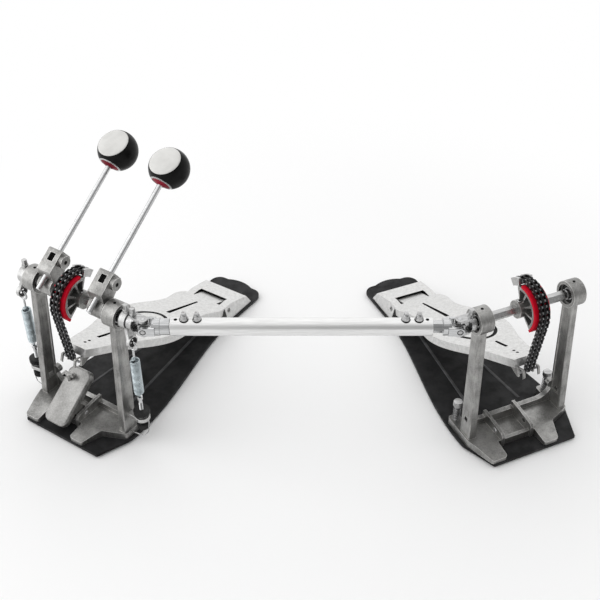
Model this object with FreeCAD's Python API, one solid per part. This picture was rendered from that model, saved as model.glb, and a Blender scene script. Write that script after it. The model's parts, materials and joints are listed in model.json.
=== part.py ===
import FreeCAD, Part
import math
import os

# Double bass drum pedal: two floor pedals whose shafts are joined by a telescopic drive bar.
# Each pedal is drawn in its own frame: x across the pedal, y from the drum towards the heel,
# z up from the floor, with the shaft axis above the origin.  The drum side is minus y.
# Lengths are millimetres and angles are degrees.

# General
OVERRUN = 3.0            # how far a cutting tool runs past the faces it cuts
FIT = 0.05               # radial clearance of a shaft, pin or rod in its bore
PLAY = 0.4               # gap between pieces that move past each other

# Layout of the two pedals
HOUSING_SPAN = 120.0     # between the centres of one pedal's bearing housings
SHAFT_HEIGHT = 175.0     # shaft axis above the floor
PRIMARY_YAW = -33.0
SLAVE_YAW = 24.2
LINK_LENGTH = 337.0      # between the centres of the two universal joints
PRIMARY_JOINT_OUT = 39.0 # universal joint centre beyond the housing's centre
SLAVE_JOINT_OUT = 27.0

# Base plate and its grip pads
PAD_T = 1.5
PLATE_T = 4.0
FRONT_Y = -60.0
FRONT_HALF = 56.0
FLARE_Y = -18.0
FLARE_OUT = 3.0          # plate beyond the feet at its widest
TAPER_Y = 240.0          # where the taper reaches the heel width
HEEL_HALF = 40.0
HEEL_Y = 300.0
HEEL_CORNER_R = 14.0
HEEL_BUMP_HALF = 20.0
HEEL_BUMP_RISE = 5.0
SIDE_SHARES = ((0.28, 0.86), (0.76, 0.12))
RIB_W = 5.0
RIB_T = 0.8
RIB_FRONT = (33.0, 22.0)
RIB_REAR = (16.0, 205.0)
PAD_INSET = 7.0
PAD_DEPTH = 26.0

# Pedestal casting
FOOT_NOSE_T = 5.0        # foot thickness at the front edge
FOOT_T = 9.0             # foot thickness under the posts
FOOT_SLOPE_Y = -34.0
FOOT_FRONT_Y = -59.0
SEAT_FRONT_Y = -37.0     # front edge of the clamp seat between the feet
LEFT_FOOT = (-58.0, -38.0)
RIGHT_FOOT = (13.0, 32.0)
RIGHT_NECK = 41.0
FOOT_OUT = 10.0          # outer edge of the feet beyond the housing's middle
FOOT_REAR_Y = 22.0       # rear edge of the spur lobes
LOBE_W = 14.0
CASTING_R = 4.0          # plan corner radius of the feet
WALL_T = 6.0
WALL_TOP = 21.0
WALL_SWEEP = 20.0        # radius of the sweep from the wall up to each post
EAR_LUG_R = 5.5          # rounded lug that ends the sweep
FIN_X = (-32.0, 8.0)     # centres of the two clamp fins
FIN_T = 4.0
FIN_TOP = 27.0
FIN_NOSE_TOP = 23.0
FIN_FRONT_Y = -39.0
FIN_R = 6.0
POST_BASE = (10.0, 20.0)     # thickness across, depth along y
POST_HEAD = (9.0, 17.0)
POST_LEAN = -12.0            # how far the post's foot stands towards the drum
POST_SPREAD = 3.0            # how far the post's foot stands out from its housing
POST_RIM = 3.2
POST_RECESS = 1.4
POST_R = 1.5
HOUSING_R = 15.5
HOUSING_L = 17.0
BEARING_R = 12.0
BEARING_L = 9.0
SEAL_R = 10.6
SEAL_T = 0.8
OIL_HOLE_R = 1.7
WINDOW = 6.0                 # square window for the spring bracket's tongue
WINDOW_Z = 38.0

# Shaft, cam wheel and its cushion
HEX_AF = 10.0
JOURNAL_R = 6.0
PILOT_R = 4.5
SLEEVE_R = 7.5
CAM_W = 18.0
CAM_RIM_R = 25.5
CAM_RIM_T = 3.5
CAM_HUB_R = 10.5
CAM_HUB_L = 30.0
CAM_SPOKES = 5
CAM_SPOKE_T = 3.0
CAM_WEB_T = 3.0
CAM_END = 38.0               # sector angle from the drum side, downwards positive
CUSHION_T = 3.2
CUSHION_W = 20.0
CUSHION_LAG_ANGLE = 17.0     # from the chain's first pin to the start of the cushion

# Roller chain, two strands
CHAIN_PITCH = 6.35
CHAIN_START_ANGLE = -113.0   # where the chain starts on the wheel, to the nearest link
BREAK_LINKS = (5, 8, 11)     # pins where the wrapped chain bends free of the wheel
LINK_H = 5.2
LINK_T = 1.0
STRAND_W = 4.4               # over the inner plates of one strand
ROLLER_R = 1.65
HOOK_PIN_R = 1.5
HOOK_PIN_HALF = 11.5
CLIP_T = 3.0
CLIP_L = 11.0

# Heel plate and its hinge
HINGE_Y = 228.0
HINGE_Z = 19.0
HINGE_PIN_R = 3.0
HEEL_PLATE_HALF = 38.0
HEEL_TOP_HALF = 33.0
HEEL_FRONT_Y = 221.0
HEEL_BACK_Y = 275.0
HEEL_FRONT_TOP = 26.0
HEEL_BACK_TOP = 18.0
HEEL_WALL = 3.0
HEEL_NOTCH_HALF = 22.0
HEEL_NOTCH_Y = 241.0
HEEL_LUG_R = 7.0

# Footboard, drawn flat with its hinge pin at the origin and the toe along minus y
BOARD_ANGLE = 19.7
BOARD_RISE = 6.5             # top face above the hinge pin
BOARD_T = 3.0
BOARD_DEPTH = 10.0
BOARD_WALL = 2.6
BOARD_START = 9.5
BOARD_TOE = 258.0
BOARD_HALF = 48.0
BOARD_SHARES = ((0.0, 0.70), (0.065, 0.79), (0.17, 0.69), (0.35, 0.89), (0.55, 1.0), (0.67, 0.84),
                (0.79, 0.595), (0.90, 0.445), (1.0, 0.31))
FLANGE_START = 17.0
TONGUE_HALF = 19.0
TONGUE_BACK = 11.0
KNUCKLE_R = 5.2
LONG_SLOT = (27.0, 91.0)
SHORT_SLOT = (199.0, 221.0)
SLOT_NARROW = 3.0
SLOT_WIDE = 5.6
TOE_HOLES = (236.0, 243.0)
TOE_HOLE_R = 1.8
BADGE_S = 144.0
BADGE_HALF_L = 41.0
BADGE_HALF_W = 27.0
GROOVE_W = 2.4
GROOVE_T = 1.0
HOOK_S = 262.0               # chain hook pin along the board and below its pin line
HOOK_DROP = 9.0
TOE_CLIP_T = 2.5
TOE_CLIP_GAP = 17.4
TOE_CLIP_REACH = 7.0
TOE_CLIP_BACK = 22.0
HOOK_SLOT_PLAY = 2.6

# Beaters and their hubs
BEATER_LEAN = 55.0           # from the vertical, towards the heel
ROD_R = 3.2
ROD_OFFSET = 15.0            # rod line from the shaft axis
ROD_TAIL = 12.5
BALL_REACH = 171.7
BALL_R = 23.5
FACE_R = 19.0
FACE_T = 3.2
CAP_R = 12.5
HUB_INSET = 22.0         # hub's middle inside the housing's centre
HUB_W = 20.0
HUB_R = 12.0
HUB_BASE = 8.0
HUB_TOP = 37.0
HUB_DEPTH = 17.0
HUB_WINDOW = 8.0
HUB_WINDOW_H = 10.0
HUB_WINDOW_T = 4.0
HUB_WINDOW_DROP_SHARE = 0.6    # share of the window below its bolt
HUB_BOLT_R = 7.5
HUB_BOLT_L = 5.0
HUB_BOLT_AT = 27.5
HUB_EDGE = 2.5

# Spring side: rockers, springs, rods, knobs and brackets
ROCKER_OUT = 16.0        # rocker's collar beyond the housing's centre
SPRING_OUT = 24.0        # spring beyond the housing's centre
ROCKER_W = 8.0
ROCKER_R = 11.0
EYE_Y = -6.0
EYE_DROP = 23.5
EYE_W = 4.0
EYE_R = 7.2
EYE_HOLE_R = 4.4
HOOK_WIRE_R = 1.3
HOOK_RING_R = 5.6
HOOK_SHANK_L = 10.0          # from the hook's ring down to the spring's end
COIL_PITCH = 3.3             # about this, so that whole turns fill the spring
COIL_R = 4.8                 # to the middle of the wire
COIL_WIRE_R = 1.15
COIL_LEAD = 7.0              # height in which the wire runs from the coil to its axis
SPRING_ROD_R = 2.4
SPRING_ROD_SHOW = 20.1       # between the tension knob and the spring's end
SPRING_ROD_END = 22.0
BRACKET_Z = 38.0
BRACKET_T = 5.0
BRACKET_R = 9.0
BRACKET_PLAY = 0.9
UPPER_KNOB_R = 9.6
UPPER_KNOB_T = 6.5
LOWER_KNOB_R = 7.5
LOWER_KNOB_T = 8.0
KNOB_NOTCHES = 12
KNOB_NOTCH_R = 1.0
KNOB_DOME_R = 4.6
LOCK_NUT_AF = 9.0
LOCK_NUT_T = 4.0
LOCK_NUT_PLAY = 1.4          # room for the nut to tip under the bracket

# Universal joints and drive bar
EAR_INNER = 7.0
EAR_T = 3.6
EAR_HALF = 5.1
EAR_REACH = 5.1
YOKE_THROAT = 12.5           # from the joint centre to the bottom of the fork
YOKE_BODY_R = 9.5
CROSS_HALF = 5.6
CROSS_PIN_R = 2.4
CROSS_PLAY = 0.9
BAR_HEX_AF = 12.0
BAR_COLLAR_R = 9.0
BAR_COLLAR_L = 12.0
TUBE_R = 9.8
TUBE_BORE_R = 7.6
TUBE_INSET = 28.5          # from each universal joint's centre to the tube's end
PRIMARY_BAR_SHARE = 0.571    # share of the tube that each bar reaches into
SLAVE_BAR_SHARE = 0.357
KEY_BOLT_AT = (15.0, 29.0)   # key bolts from each end of the tube
KEY_BASE_R = 3.9
KEY_BASE_T = 2.5
KEY_HEAD = 5.2
KEY_HEAD_T = 7.0

# Hoop clamp on the primary pedal
LEVER_X = -12.0
LEVER_W = 35.0
LEVER_T = 8.0
LEVER_PIVOT = (-24.0, 19.0)
LEVER_NOSE = (-54.0, 13.0)
LEVER_REAR = (5.0, 55.0)
LEVER_LUG_R = 7.0
LEVER_CORNER_R = 9.0
LEVER_PIN_R = 3.0
CLAMP_SCREW_R = 3.0
CLAMP_SCREW_Y = -14.0
CLAMP_SCREW_X = -20.5
CLAMP_RUN = 1.2             # how far the lever climbs along the screw
WING_HALF = 8.0
WING_T = 3.2
WING_H = 4.4
WING_HUB_R = 4.0
WING_HUB_T = 4.5

# Spur screws at the rear corners of the slave pedal
SPUR_INSET = 6.5         # spur screw inside the edge of the feet
SPUR_Y = 14.0
SPUR_R = 2.8
SPUR_L = 36.0
SPUR_TIP = 4.0
SPUR_LIFT = 1.0           # spur tip above the floor when drawn in
SPUR_HEAD_R = 5.2
SPUR_HEAD_T = 7.0

V = FreeCAD.Vector
ORIGIN = V()
X_AXIS = V(1, 0, 0)
Y_AXIS = V(0, 1, 0)
Z_AXIS = V(0, 0, 1)
DIAGONAL = V(1, 1, 1)
HALF_TURN = 180.0
THIRD_TURN = 120.0
QUARTER_TURN = 90.0

PLATE_TOP = PAD_T + PLATE_T
HALF_SPAN = HOUSING_SPAN / 2
PRIMARY_JOINT_X = HALF_SPAN + PRIMARY_JOINT_OUT
SLAVE_JOINT_X = -HALF_SPAN - SLAVE_JOINT_OUT
HUB_X = HALF_SPAN - HUB_INSET
ROCKER_X = HALF_SPAN + ROCKER_OUT
SPRING_X = HALF_SPAN + SPRING_OUT
FOOT_OUTER = HALF_SPAN + FOOT_OUT
FLARE_HALF = FOOT_OUTER + FLARE_OUT
LOBE_INNER = FOOT_OUTER - LOBE_W
SPUR_X = FOOT_OUTER - SPUR_INSET
AXIS = V(0, 0, SHAFT_HEIGHT)
HINGE = V(0, HINGE_Y, HINGE_Z)
WRAP_R = CAM_RIM_R + CUSHION_T + PLAY + LINK_H / 2
EYE = V(0, EYE_Y, SHAFT_HEIGHT - EYE_DROP)
COIL_TOP = EYE.z - 2 * HOOK_RING_R - HOOK_SHANK_L - COIL_LEAD
KNOB_BASE = BRACKET_Z + BRACKET_T / 2 + BRACKET_PLAY + KNOB_DOME_R / 2
COIL_BOTTOM = KNOB_BASE + UPPER_KNOB_T + SPRING_ROD_SHOW + COIL_LEAD
COIL_TURNS = round((COIL_TOP - COIL_BOTTOM) / COIL_PITCH)
TUBE_L = LINK_LENGTH - 2 * TUBE_INSET


def box(x0, x1, y0, y1, z0, z1):
    """A block between two corners."""
    return Part.makeBox(x1 - x0, y1 - y0, z1 - z0, V(x0, y0, z0))


def bar(start, axis, length, radius):
    """A round bar."""
    return Part.makeCylinder(radius, length, start, axis)


def ring(start, axis, length, outer, inner):
    """A round bar with a bore."""
    reach = V(axis).normalize() * OVERRUN
    return bar(start, axis, length, outer).cut(bar(start - reach, axis, length + 2 * OVERRUN, inner))


def cross_bar(x0, x1, radius, centre):
    """A round bar across the pedal between two x positions."""
    return bar(V(x0, centre.y, centre.z), X_AXIS, x1 - x0, radius)


def fuse(*solids):
    """One solid from several that meet."""
    return solids[0].fuse(list(solids[1:])).removeSplitter()


def line(a, b):
    """A straight edge."""
    return Part.LineSegment(a, b).toShape()


def arc(a, middle, b):
    """A circular edge through three points."""
    return Part.Arc(a, middle, b).toShape()


def corner_wire(corners):
    """A closed flat outline through corners (x, y, radius), each rounded to its radius."""
    points = [V(x, y, 0) for x, y, _ in corners]
    arrivals, leavings, edges = [], [], []
    for i, (_, _, radius) in enumerate(corners):
        here = points[i]
        back = (points[i - 1] - here).normalize()
        ahead = (points[(i + 1) % len(points)] - here).normalize()
        half = back.getAngle(ahead) / 2
        run = radius / math.tan(half)
        bisector = (back + ahead).normalize()
        arrivals.append(here + back * run)
        leavings.append(here + ahead * run)
        if radius:
            middle = here + bisector * (radius / math.sin(half) - radius)
            edges.append(arc(arrivals[i], middle, leavings[i]))
        else:
            edges.append(None)
    loop = []
    for i, edge in enumerate(edges):
        if edge:
            loop.append(edge)
        loop.append(line(leavings[i], arrivals[(i + 1) % len(points)]))
    return Part.Wire(loop)


def plan_prism(corners, z0, z1):
    """A plan outline (x, y, radius) raised from z0 to z1."""
    solid = Part.Face(corner_wire(corners)).extrude(V(0, 0, z1 - z0))
    solid.translate(V(0, 0, z0))
    return solid


def side_prism(corners, x0, x1):
    """A side outline (y, z, radius) drawn out from x0 to x1."""
    solid = plan_prism(corners, x0, x1)
    solid.rotate(ORIGIN, DIAGONAL, THIRD_TURN)
    return solid


def hex_bar(x0, x1, flats, centre):
    """A hexagonal bar across the pedal, flats on top and below."""
    radius = flats / math.sqrt(3)
    turns = [math.radians(a) for a in range(0, 360, 60)]
    corners = [(centre.y + radius * math.cos(t), centre.z + radius * math.sin(t), 0) for t in turns]
    return side_prism(corners, x0, x1)


def on_wheel(radius, angle, x=0.0):
    """A point at an angle round the shaft, from the drum side and downwards positive."""
    turn = math.radians(angle)
    return V(x, -radius * math.cos(turn), SHAFT_HEIGHT - radius * math.sin(turn))


def wheel_sector(inner, outer, start, end, x0, x1):
    """A curved bar round the shaft between two radii and two angles."""
    middle = (start + end) / 2
    loop = Part.Wire([
        arc(on_wheel(outer, start, x0), on_wheel(outer, middle, x0), on_wheel(outer, end, x0)),
        line(on_wheel(outer, end, x0), on_wheel(inner, end, x0)),
        arc(on_wheel(inner, end, x0), on_wheel(inner, middle, x0), on_wheel(inner, start, x0)),
        line(on_wheel(inner, start, x0), on_wheel(outer, start, x0))])
    return Part.Face(loop).extrude(V(x1 - x0, 0, 0))


def mirrored(solid):
    """The same solid on the other side of the pedal."""
    return solid.mirror(ORIGIN, X_AXIS)


def plate_outline():
    """Half outlines of the base plate joined into one wire."""
    def side(sign):
        points = [V(sign * FLARE_HALF, FLARE_Y, 0)]
        for along, out in SIDE_SHARES:
            x = HEEL_HALF + out * (FLARE_HALF - HEEL_HALF)
            points.append(V(sign * x, FLARE_Y + along * (TAPER_Y - FLARE_Y), 0))
        points.append(V(sign * HEEL_HALF, TAPER_Y, 0))
        curve = Part.BSplineCurve()
        curve.interpolate(points)
        round_in = V(sign * (HEEL_HALF - HEEL_CORNER_R), HEEL_Y - HEEL_CORNER_R, 0)
        slant = HEEL_CORNER_R / math.sqrt(2)
        return [line(V(sign * FRONT_HALF, FRONT_Y, 0), points[0]),
                curve.toShape(),
                line(points[-1], V(sign * HEEL_HALF, HEEL_Y - HEEL_CORNER_R, 0)),
                arc(V(sign * HEEL_HALF, HEEL_Y - HEEL_CORNER_R, 0),
                    round_in + V(sign * slant, slant, 0),
                    V(sign * (HEEL_HALF - HEEL_CORNER_R), HEEL_Y, 0)),
                line(V(sign * (HEEL_HALF - HEEL_CORNER_R), HEEL_Y, 0), V(sign * HEEL_BUMP_HALF, HEEL_Y, 0))]
    edges = side(1) + side(-1)
    edges.append(arc(V(HEEL_BUMP_HALF, HEEL_Y, 0), V(0, HEEL_Y + HEEL_BUMP_RISE, 0),
                     V(-HEEL_BUMP_HALF, HEEL_Y, 0)))
    edges.append(line(V(-FRONT_HALF, FRONT_Y, 0), V(FRONT_HALF, FRONT_Y, 0)))
    return Part.Wire(Part.__sortEdges__(edges))


def spur_holes():
    """Tools for the spur screws' holes at the rear corners of a pedal."""
    return [bar(V(sign * SPUR_X, SPUR_Y, 0), Z_AXIS, SPUR_L, SPUR_R + FIT) for sign in (1, -1)]


def base_plate():
    """The floor plate with its two stiffening ribs."""
    plate = Part.Face(plate_outline()).extrude(V(0, 0, PLATE_T))
    plate.translate(V(0, 0, PAD_T))
    ribs = []
    for sign in (1, -1):
        front = V(sign * RIB_FRONT[0], RIB_FRONT[1], PLATE_TOP - RIB_T)
        rear = V(sign * RIB_REAR[0], RIB_REAR[1], PLATE_TOP - RIB_T)
        across = V(RIB_W / 2, 0, 0)
        crest = V(RIB_W / 4, 0, 2 * RIB_T)
        sink = V(-RIB_W / 4, 0, 2 * RIB_T)
        loops = []
        for end in (front, rear):
            loops.append(Part.makePolygon([end - across, end + across, end + crest, end + sink,
                                           end - across]))
        ribs.append(Part.makeLoft(loops, True, True))
    return fuse(plate, *ribs).cut(spur_holes())


def grip_pads():
    """Rubber strips under the front, middle and heel of the base plate."""
    front = FRONT_Y + PAD_INSET
    middle = FLARE_Y + (TAPER_Y - FLARE_Y) / 2
    rear = HEEL_Y - PAD_INSET - PAD_DEPTH
    strips = ((FRONT_HALF, front), ((FLARE_HALF + HEEL_HALF) / 2, middle), (HEEL_HALF, rear))
    return Part.makeCompound([
        box(-half + PAD_INSET, half - PAD_INSET, y, y + PAD_DEPTH, 0, PAD_T) for half, y in strips])


def post_fall(z):
    """Share of the way down from the shaft to the post's foot at a height."""
    return (SHAFT_HEIGHT - z) / (SHAFT_HEIGHT - PLATE_TOP - FOOT_NOSE_T)


def post_x(z):
    """How far out a leaning post's middle is from its housing at a height."""
    return POST_SPREAD * post_fall(z)


def post_y(z):
    """Middle of a leaning post at a height."""
    return POST_LEAN * post_fall(z)


def post_section(size, side, z, inset):
    """A rounded rectangle across one post, as a wire at its height."""
    half_x = size[0] / 2
    half_y = size[1] / 2 - inset
    wire = corner_wire([(half_x, -half_y, POST_R), (half_x, half_y, POST_R),
                        (-half_x, half_y, POST_R), (-half_x, -half_y, POST_R)])
    wire.translate(V(side * post_x(z), post_y(z), z))
    return wire


def post(side):
    """One leaning post with a recess in its inner face, its housing's middle at x = 0."""
    low, high = PLATE_TOP + FOOT_NOSE_T, SHAFT_HEIGHT - HOUSING_R / 2
    solid = Part.makeLoft([post_section(POST_BASE, side, low, 0), post_section(POST_HEAD, side, high, 0)],
                          True, True)
    cut_low = PLATE_TOP + FOOT_T + WALL_SWEEP
    cut_high = SHAFT_HEIGHT - HOUSING_R - POST_RIM
    pocket = Part.makeLoft([post_section(POST_BASE, side, cut_low, POST_RIM),
                            post_section(POST_HEAD, side, cut_high, POST_RIM)], True, True)
    pocket.translate(V(-side * (POST_BASE[0] - POST_RECESS), 0, 0))
    return solid.cut(pocket)


def pedestal():
    """The casting: two feet, clamp seat with fins, rear wall, two posts and the bearing housings."""
    top = PLATE_TOP + FOOT_T
    plan = [(LEFT_FOOT[0], FOOT_FRONT_Y, CASTING_R), (LEFT_FOOT[1], FOOT_FRONT_Y, CASTING_R),
            (LEFT_FOOT[1], SEAT_FRONT_Y, 0), (RIGHT_FOOT[0], SEAT_FRONT_Y, 0),
            (RIGHT_FOOT[0], FOOT_FRONT_Y, CASTING_R), (RIGHT_FOOT[1], FOOT_FRONT_Y, CASTING_R),
            (RIGHT_NECK, FOOT_SLOPE_Y, CASTING_R), (FOOT_OUTER, FLARE_Y - CASTING_R, CASTING_R),
            (FOOT_OUTER, FOOT_REAR_Y, CASTING_R), (LOBE_INNER, FOOT_REAR_Y, CASTING_R),
            (LOBE_INNER, WALL_T / 2, 0), (-LOBE_INNER, WALL_T / 2, 0),
            (-LOBE_INNER, FOOT_REAR_Y, CASTING_R), (-FOOT_OUTER, FOOT_REAR_Y, CASTING_R),
            (-FOOT_OUTER, FLARE_Y - CASTING_R, CASTING_R)]
    feet = plan_prism(plan, PLATE_TOP, top)
    profile = [(FOOT_FRONT_Y - OVERRUN, PLATE_TOP, 0), (FOOT_FRONT_Y - OVERRUN, PLATE_TOP + FOOT_NOSE_T, 0),
               (FOOT_FRONT_Y, PLATE_TOP + FOOT_NOSE_T, 0), (FOOT_SLOPE_Y, top, 0),
               (FOOT_REAR_Y + OVERRUN, top, 0), (FOOT_REAR_Y + OVERRUN, PLATE_TOP, 0)]
    reach = FOOT_OUTER + OVERRUN
    feet = feet.common(side_prism(profile, -reach, reach))
    seat = box(FIN_X[0], FIN_X[1], SEAT_FRONT_Y + FIN_T, -WALL_T / 2, top - FOOT_NOSE_T, top + OVERRUN)
    feet = feet.cut(seat)
    fin = [(WALL_T / 2, PLATE_TOP, 0), (WALL_T / 2, FIN_TOP, 0), (-WALL_T, FIN_TOP, 0),
           (FIN_FRONT_Y, FIN_NOSE_TOP, FIN_R), (FIN_FRONT_Y, PLATE_TOP, 0)]
    pivot = V(0, LEVER_PIVOT[0], LEVER_PIVOT[1])
    fins = []
    for x in FIN_X:
        blade = side_prism(fin, x - FIN_T / 2, x + FIN_T / 2)
        fins.append(blade.cut(cross_bar(x - FIN_T, x + FIN_T, LEVER_PIN_R + FIT, pivot)))
    sweep = WALL_TOP + WALL_SWEEP
    inner = HALF_SPAN + post_x(sweep) - POST_HEAD[0] / 2 + POST_RECESS
    bend = WALL_SWEEP * (1 - math.sqrt(2) / 2)
    def wall_edges(sign):
        foot = V(sign * (inner - WALL_SWEEP), WALL_TOP, 0)
        return arc(foot, V(sign * (inner - bend), WALL_TOP + bend, 0), V(sign * inner, sweep, 0))
    wall_wire = Part.Wire(Part.__sortEdges__([
        line(V(-inner, PLATE_TOP, 0), V(inner, PLATE_TOP, 0)),
        line(V(inner, PLATE_TOP, 0), V(inner, sweep, 0)),
        wall_edges(1), line(V(inner - WALL_SWEEP, WALL_TOP, 0), V(WALL_SWEEP - inner, WALL_TOP, 0)),
        wall_edges(-1), line(V(-inner, sweep, 0), V(-inner, PLATE_TOP, 0))]))
    wall = Part.Face(wall_wire).extrude(V(0, 0, WALL_T))
    wall.rotate(ORIGIN, X_AXIS, QUARTER_TURN)
    wall.translate(V(0, WALL_T / 2, 0))
    ears = [bar(V(sign * (inner - EAR_LUG_R / 2), -WALL_T / 2, sweep), Y_AXIS, WALL_T, EAR_LUG_R)
            for sign in (1, -1)]
    uprights = []
    for sign in (1, -1):
        x = sign * HALF_SPAN
        upright = post(sign)
        upright.translate(V(x, 0, 0))
        housing = cross_bar(x - HOUSING_L / 2, x + HOUSING_L / 2, HOUSING_R, AXIS)
        upright = fuse(upright, housing)
        bore = cross_bar(x - HOUSING_L, x + HOUSING_L, BEARING_R + FIT, AXIS)
        oil = bar(V(x, 0, SHAFT_HEIGHT), Z_AXIS, HOUSING_R + OVERRUN, OIL_HOLE_R)
        half = WINDOW / 2
        y = post_y(WINDOW_Z)
        window = box(x - HOUSING_L, x + HOUSING_L, y - half, y + half, WINDOW_Z - half, WINDOW_Z + half)
        uprights.append(upright.cut([bore, oil, window]))
    casting = fuse(feet, wall, *ears, *fins, *uprights)
    return casting.cut(spur_holes())


def bearing(x, bore):
    """A sealed ball bearing in one housing."""
    half = BEARING_L / 2
    solid = ring(V(x - half, 0, SHAFT_HEIGHT), X_AXIS, BEARING_L, BEARING_R, bore + FIT)
    for start in (x - half - OVERRUN + SEAL_T, x + half - SEAL_T):
        groove = ring(V(start, 0, SHAFT_HEIGHT), X_AXIS, OVERRUN, SEAL_R, bore + 2 * SEAL_T)
        solid = solid.cut(groove)
    return solid


def heel_plate():
    """The hollow heel casting with a notch for the footboard's tongue and two hinge lugs."""
    def body(wall):
        side = [(HEEL_FRONT_Y + wall, PLATE_TOP - (wall and OVERRUN), 0),
                (HEEL_FRONT_Y + wall, HEEL_FRONT_TOP - wall, 0),
                (HEEL_FRONT_Y + HEEL_LUG_R * 2, HEEL_FRONT_TOP - wall, 0),
                (HEEL_BACK_Y - HEEL_LUG_R - wall, HEEL_BACK_TOP - wall, 0),
                (HEEL_BACK_Y - wall, PLATE_TOP - (wall and OVERRUN), 0)]
        solid = side_prism(side, wall - HEEL_PLATE_HALF, HEEL_PLATE_HALF - wall)
        lean = math.degrees(math.atan2(HEEL_PLATE_HALF - HEEL_TOP_HALF, HEEL_FRONT_TOP - PLATE_TOP))
        for sign in (1, -1):
            tool = box(0, HEEL_PLATE_HALF, HEEL_FRONT_Y - OVERRUN, HEEL_BACK_Y + OVERRUN,
                       -HEEL_FRONT_TOP, 2 * HEEL_FRONT_TOP)
            tool.rotate(ORIGIN, Y_AXIS, -lean)
            tool.translate(V(HEEL_PLATE_HALF - wall, 0, PLATE_TOP))
            solid = solid.cut(tool if sign == 1 else mirrored(tool))
        return solid
    shell = body(0).cut(body(HEEL_WALL))
    lugs = []
    for sign in (1, -1):
        outer = HEEL_TOP_HALF
        x0, x1 = sorted((sign * HEEL_NOTCH_HALF, sign * outer))
        lug = box(x0, x1, HEEL_FRONT_Y, HEEL_FRONT_Y + HEEL_LUG_R * 2, PLATE_TOP, HEEL_FRONT_TOP)
        lugs.append(lug)
    solid = fuse(shell, *lugs)
    notch = box(-HEEL_NOTCH_HALF, HEEL_NOTCH_HALF, HEEL_FRONT_Y - OVERRUN, HEEL_NOTCH_Y,
                PLATE_TOP + HEEL_WALL, HEEL_FRONT_TOP + OVERRUN)
    reach = HEEL_PLATE_HALF + OVERRUN
    return solid.cut([notch, cross_bar(-reach, reach, HINGE_PIN_R + FIT, HINGE)])


def hinge_pin():
    """The pin that carries the footboard on the heel plate."""
    return cross_bar(-HEEL_TOP_HALF, HEEL_TOP_HALF, HINGE_PIN_R, HINGE)


def board_outline(inset):
    """Footboard outline, drawn in by an inset, as a wire."""
    length = BOARD_TOE - BOARD_START
    def side(sign):
        points = [V(sign * (out * BOARD_HALF - inset), -(BOARD_START + along * length), 0)
                  for along, out in BOARD_SHARES]
        points[0].y -= inset
        points[-1].y += inset
        curve = Part.BSplineCurve()
        curve.interpolate(points)
        return points, curve.toShape()
    right, right_edge = side(1)
    left, left_edge = side(-1)
    front_edge = line(right[-1], left[-1])
    rear_edge = line(left[0], right[0])
    return Part.Wire(Part.__sortEdges__([right_edge, front_edge, left_edge, rear_edge]))


def slot_tool(start, end):
    """A slot along the board, narrow at the heel end and wide at the toe end."""
    narrow, wide = SLOT_NARROW / 2, SLOT_WIDE / 2
    corners = [(narrow, -start, SLOT_NARROW / 4), (wide, -end, SLOT_NARROW / 4),
               (-wide, -end, SLOT_NARROW / 4), (-narrow, -start, SLOT_NARROW / 4)]
    return plan_prism(corners, BOARD_RISE - BOARD_T - OVERRUN, BOARD_RISE + OVERRUN)


def oval(half_x, half_y):
    """A flat oval, longest along the board."""
    curve = Part.Ellipse(ORIGIN, half_y, half_x)
    face = Part.Face(Part.Wire(curve.toShape()))
    face.rotate(ORIGIN, Z_AXIS, QUARTER_TURN)
    return face


def place_on_board(solid):
    """Tilt a piece drawn on the flat footboard into its place on the hinge."""
    solid.rotate(ORIGIN, X_AXIS, -BOARD_ANGLE)
    solid.translate(HINGE)
    return solid


def footboard():
    """The dished footboard with rolled sides, slots, toe holes and a hinge tongue."""
    low = BOARD_RISE - BOARD_DEPTH
    body = Part.Face(board_outline(0)).extrude(V(0, 0, BOARD_DEPTH))
    body.translate(V(0, 0, low))
    hollow = Part.Face(board_outline(BOARD_WALL)).extrude(V(0, 0, BOARD_DEPTH - BOARD_T + OVERRUN))
    hollow.translate(V(0, 0, low - OVERRUN))
    rear = box(-BOARD_HALF - OVERRUN, BOARD_HALF + OVERRUN, -FLANGE_START, OVERRUN, low - OVERRUN,
               BOARD_RISE - BOARD_T)
    tongue = box(-TONGUE_HALF, TONGUE_HALF, -BOARD_START - OVERRUN, TONGUE_BACK,
                 BOARD_RISE - BOARD_T, BOARD_RISE)
    knuckle = cross_bar(-TONGUE_HALF, TONGUE_HALF, KNUCKLE_R, ORIGIN)
    board = fuse(body.cut([hollow, rear]), tongue, knuckle)
    holes = [bar(V(0, -s, BOARD_RISE - BOARD_T - OVERRUN), Z_AXIS, BOARD_T + 2 * OVERRUN, TOE_HOLE_R)
             for s in TOE_HOLES]
    groove = oval(BADGE_HALF_W, BADGE_HALF_L).cut(oval(BADGE_HALF_W - GROOVE_W, BADGE_HALF_L - GROOVE_W))
    groove = groove.extrude(V(0, 0, GROOVE_T + OVERRUN))
    groove.translate(V(0, -BADGE_S, BOARD_RISE - GROOVE_T))
    pin = cross_bar(-BOARD_HALF, BOARD_HALF, HINGE_PIN_R + FIT, ORIGIN)
    board = board.cut(holes + [slot_tool(*LONG_SLOT), slot_tool(*SHORT_SLOT), groove, pin])
    return place_on_board(board)


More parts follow.
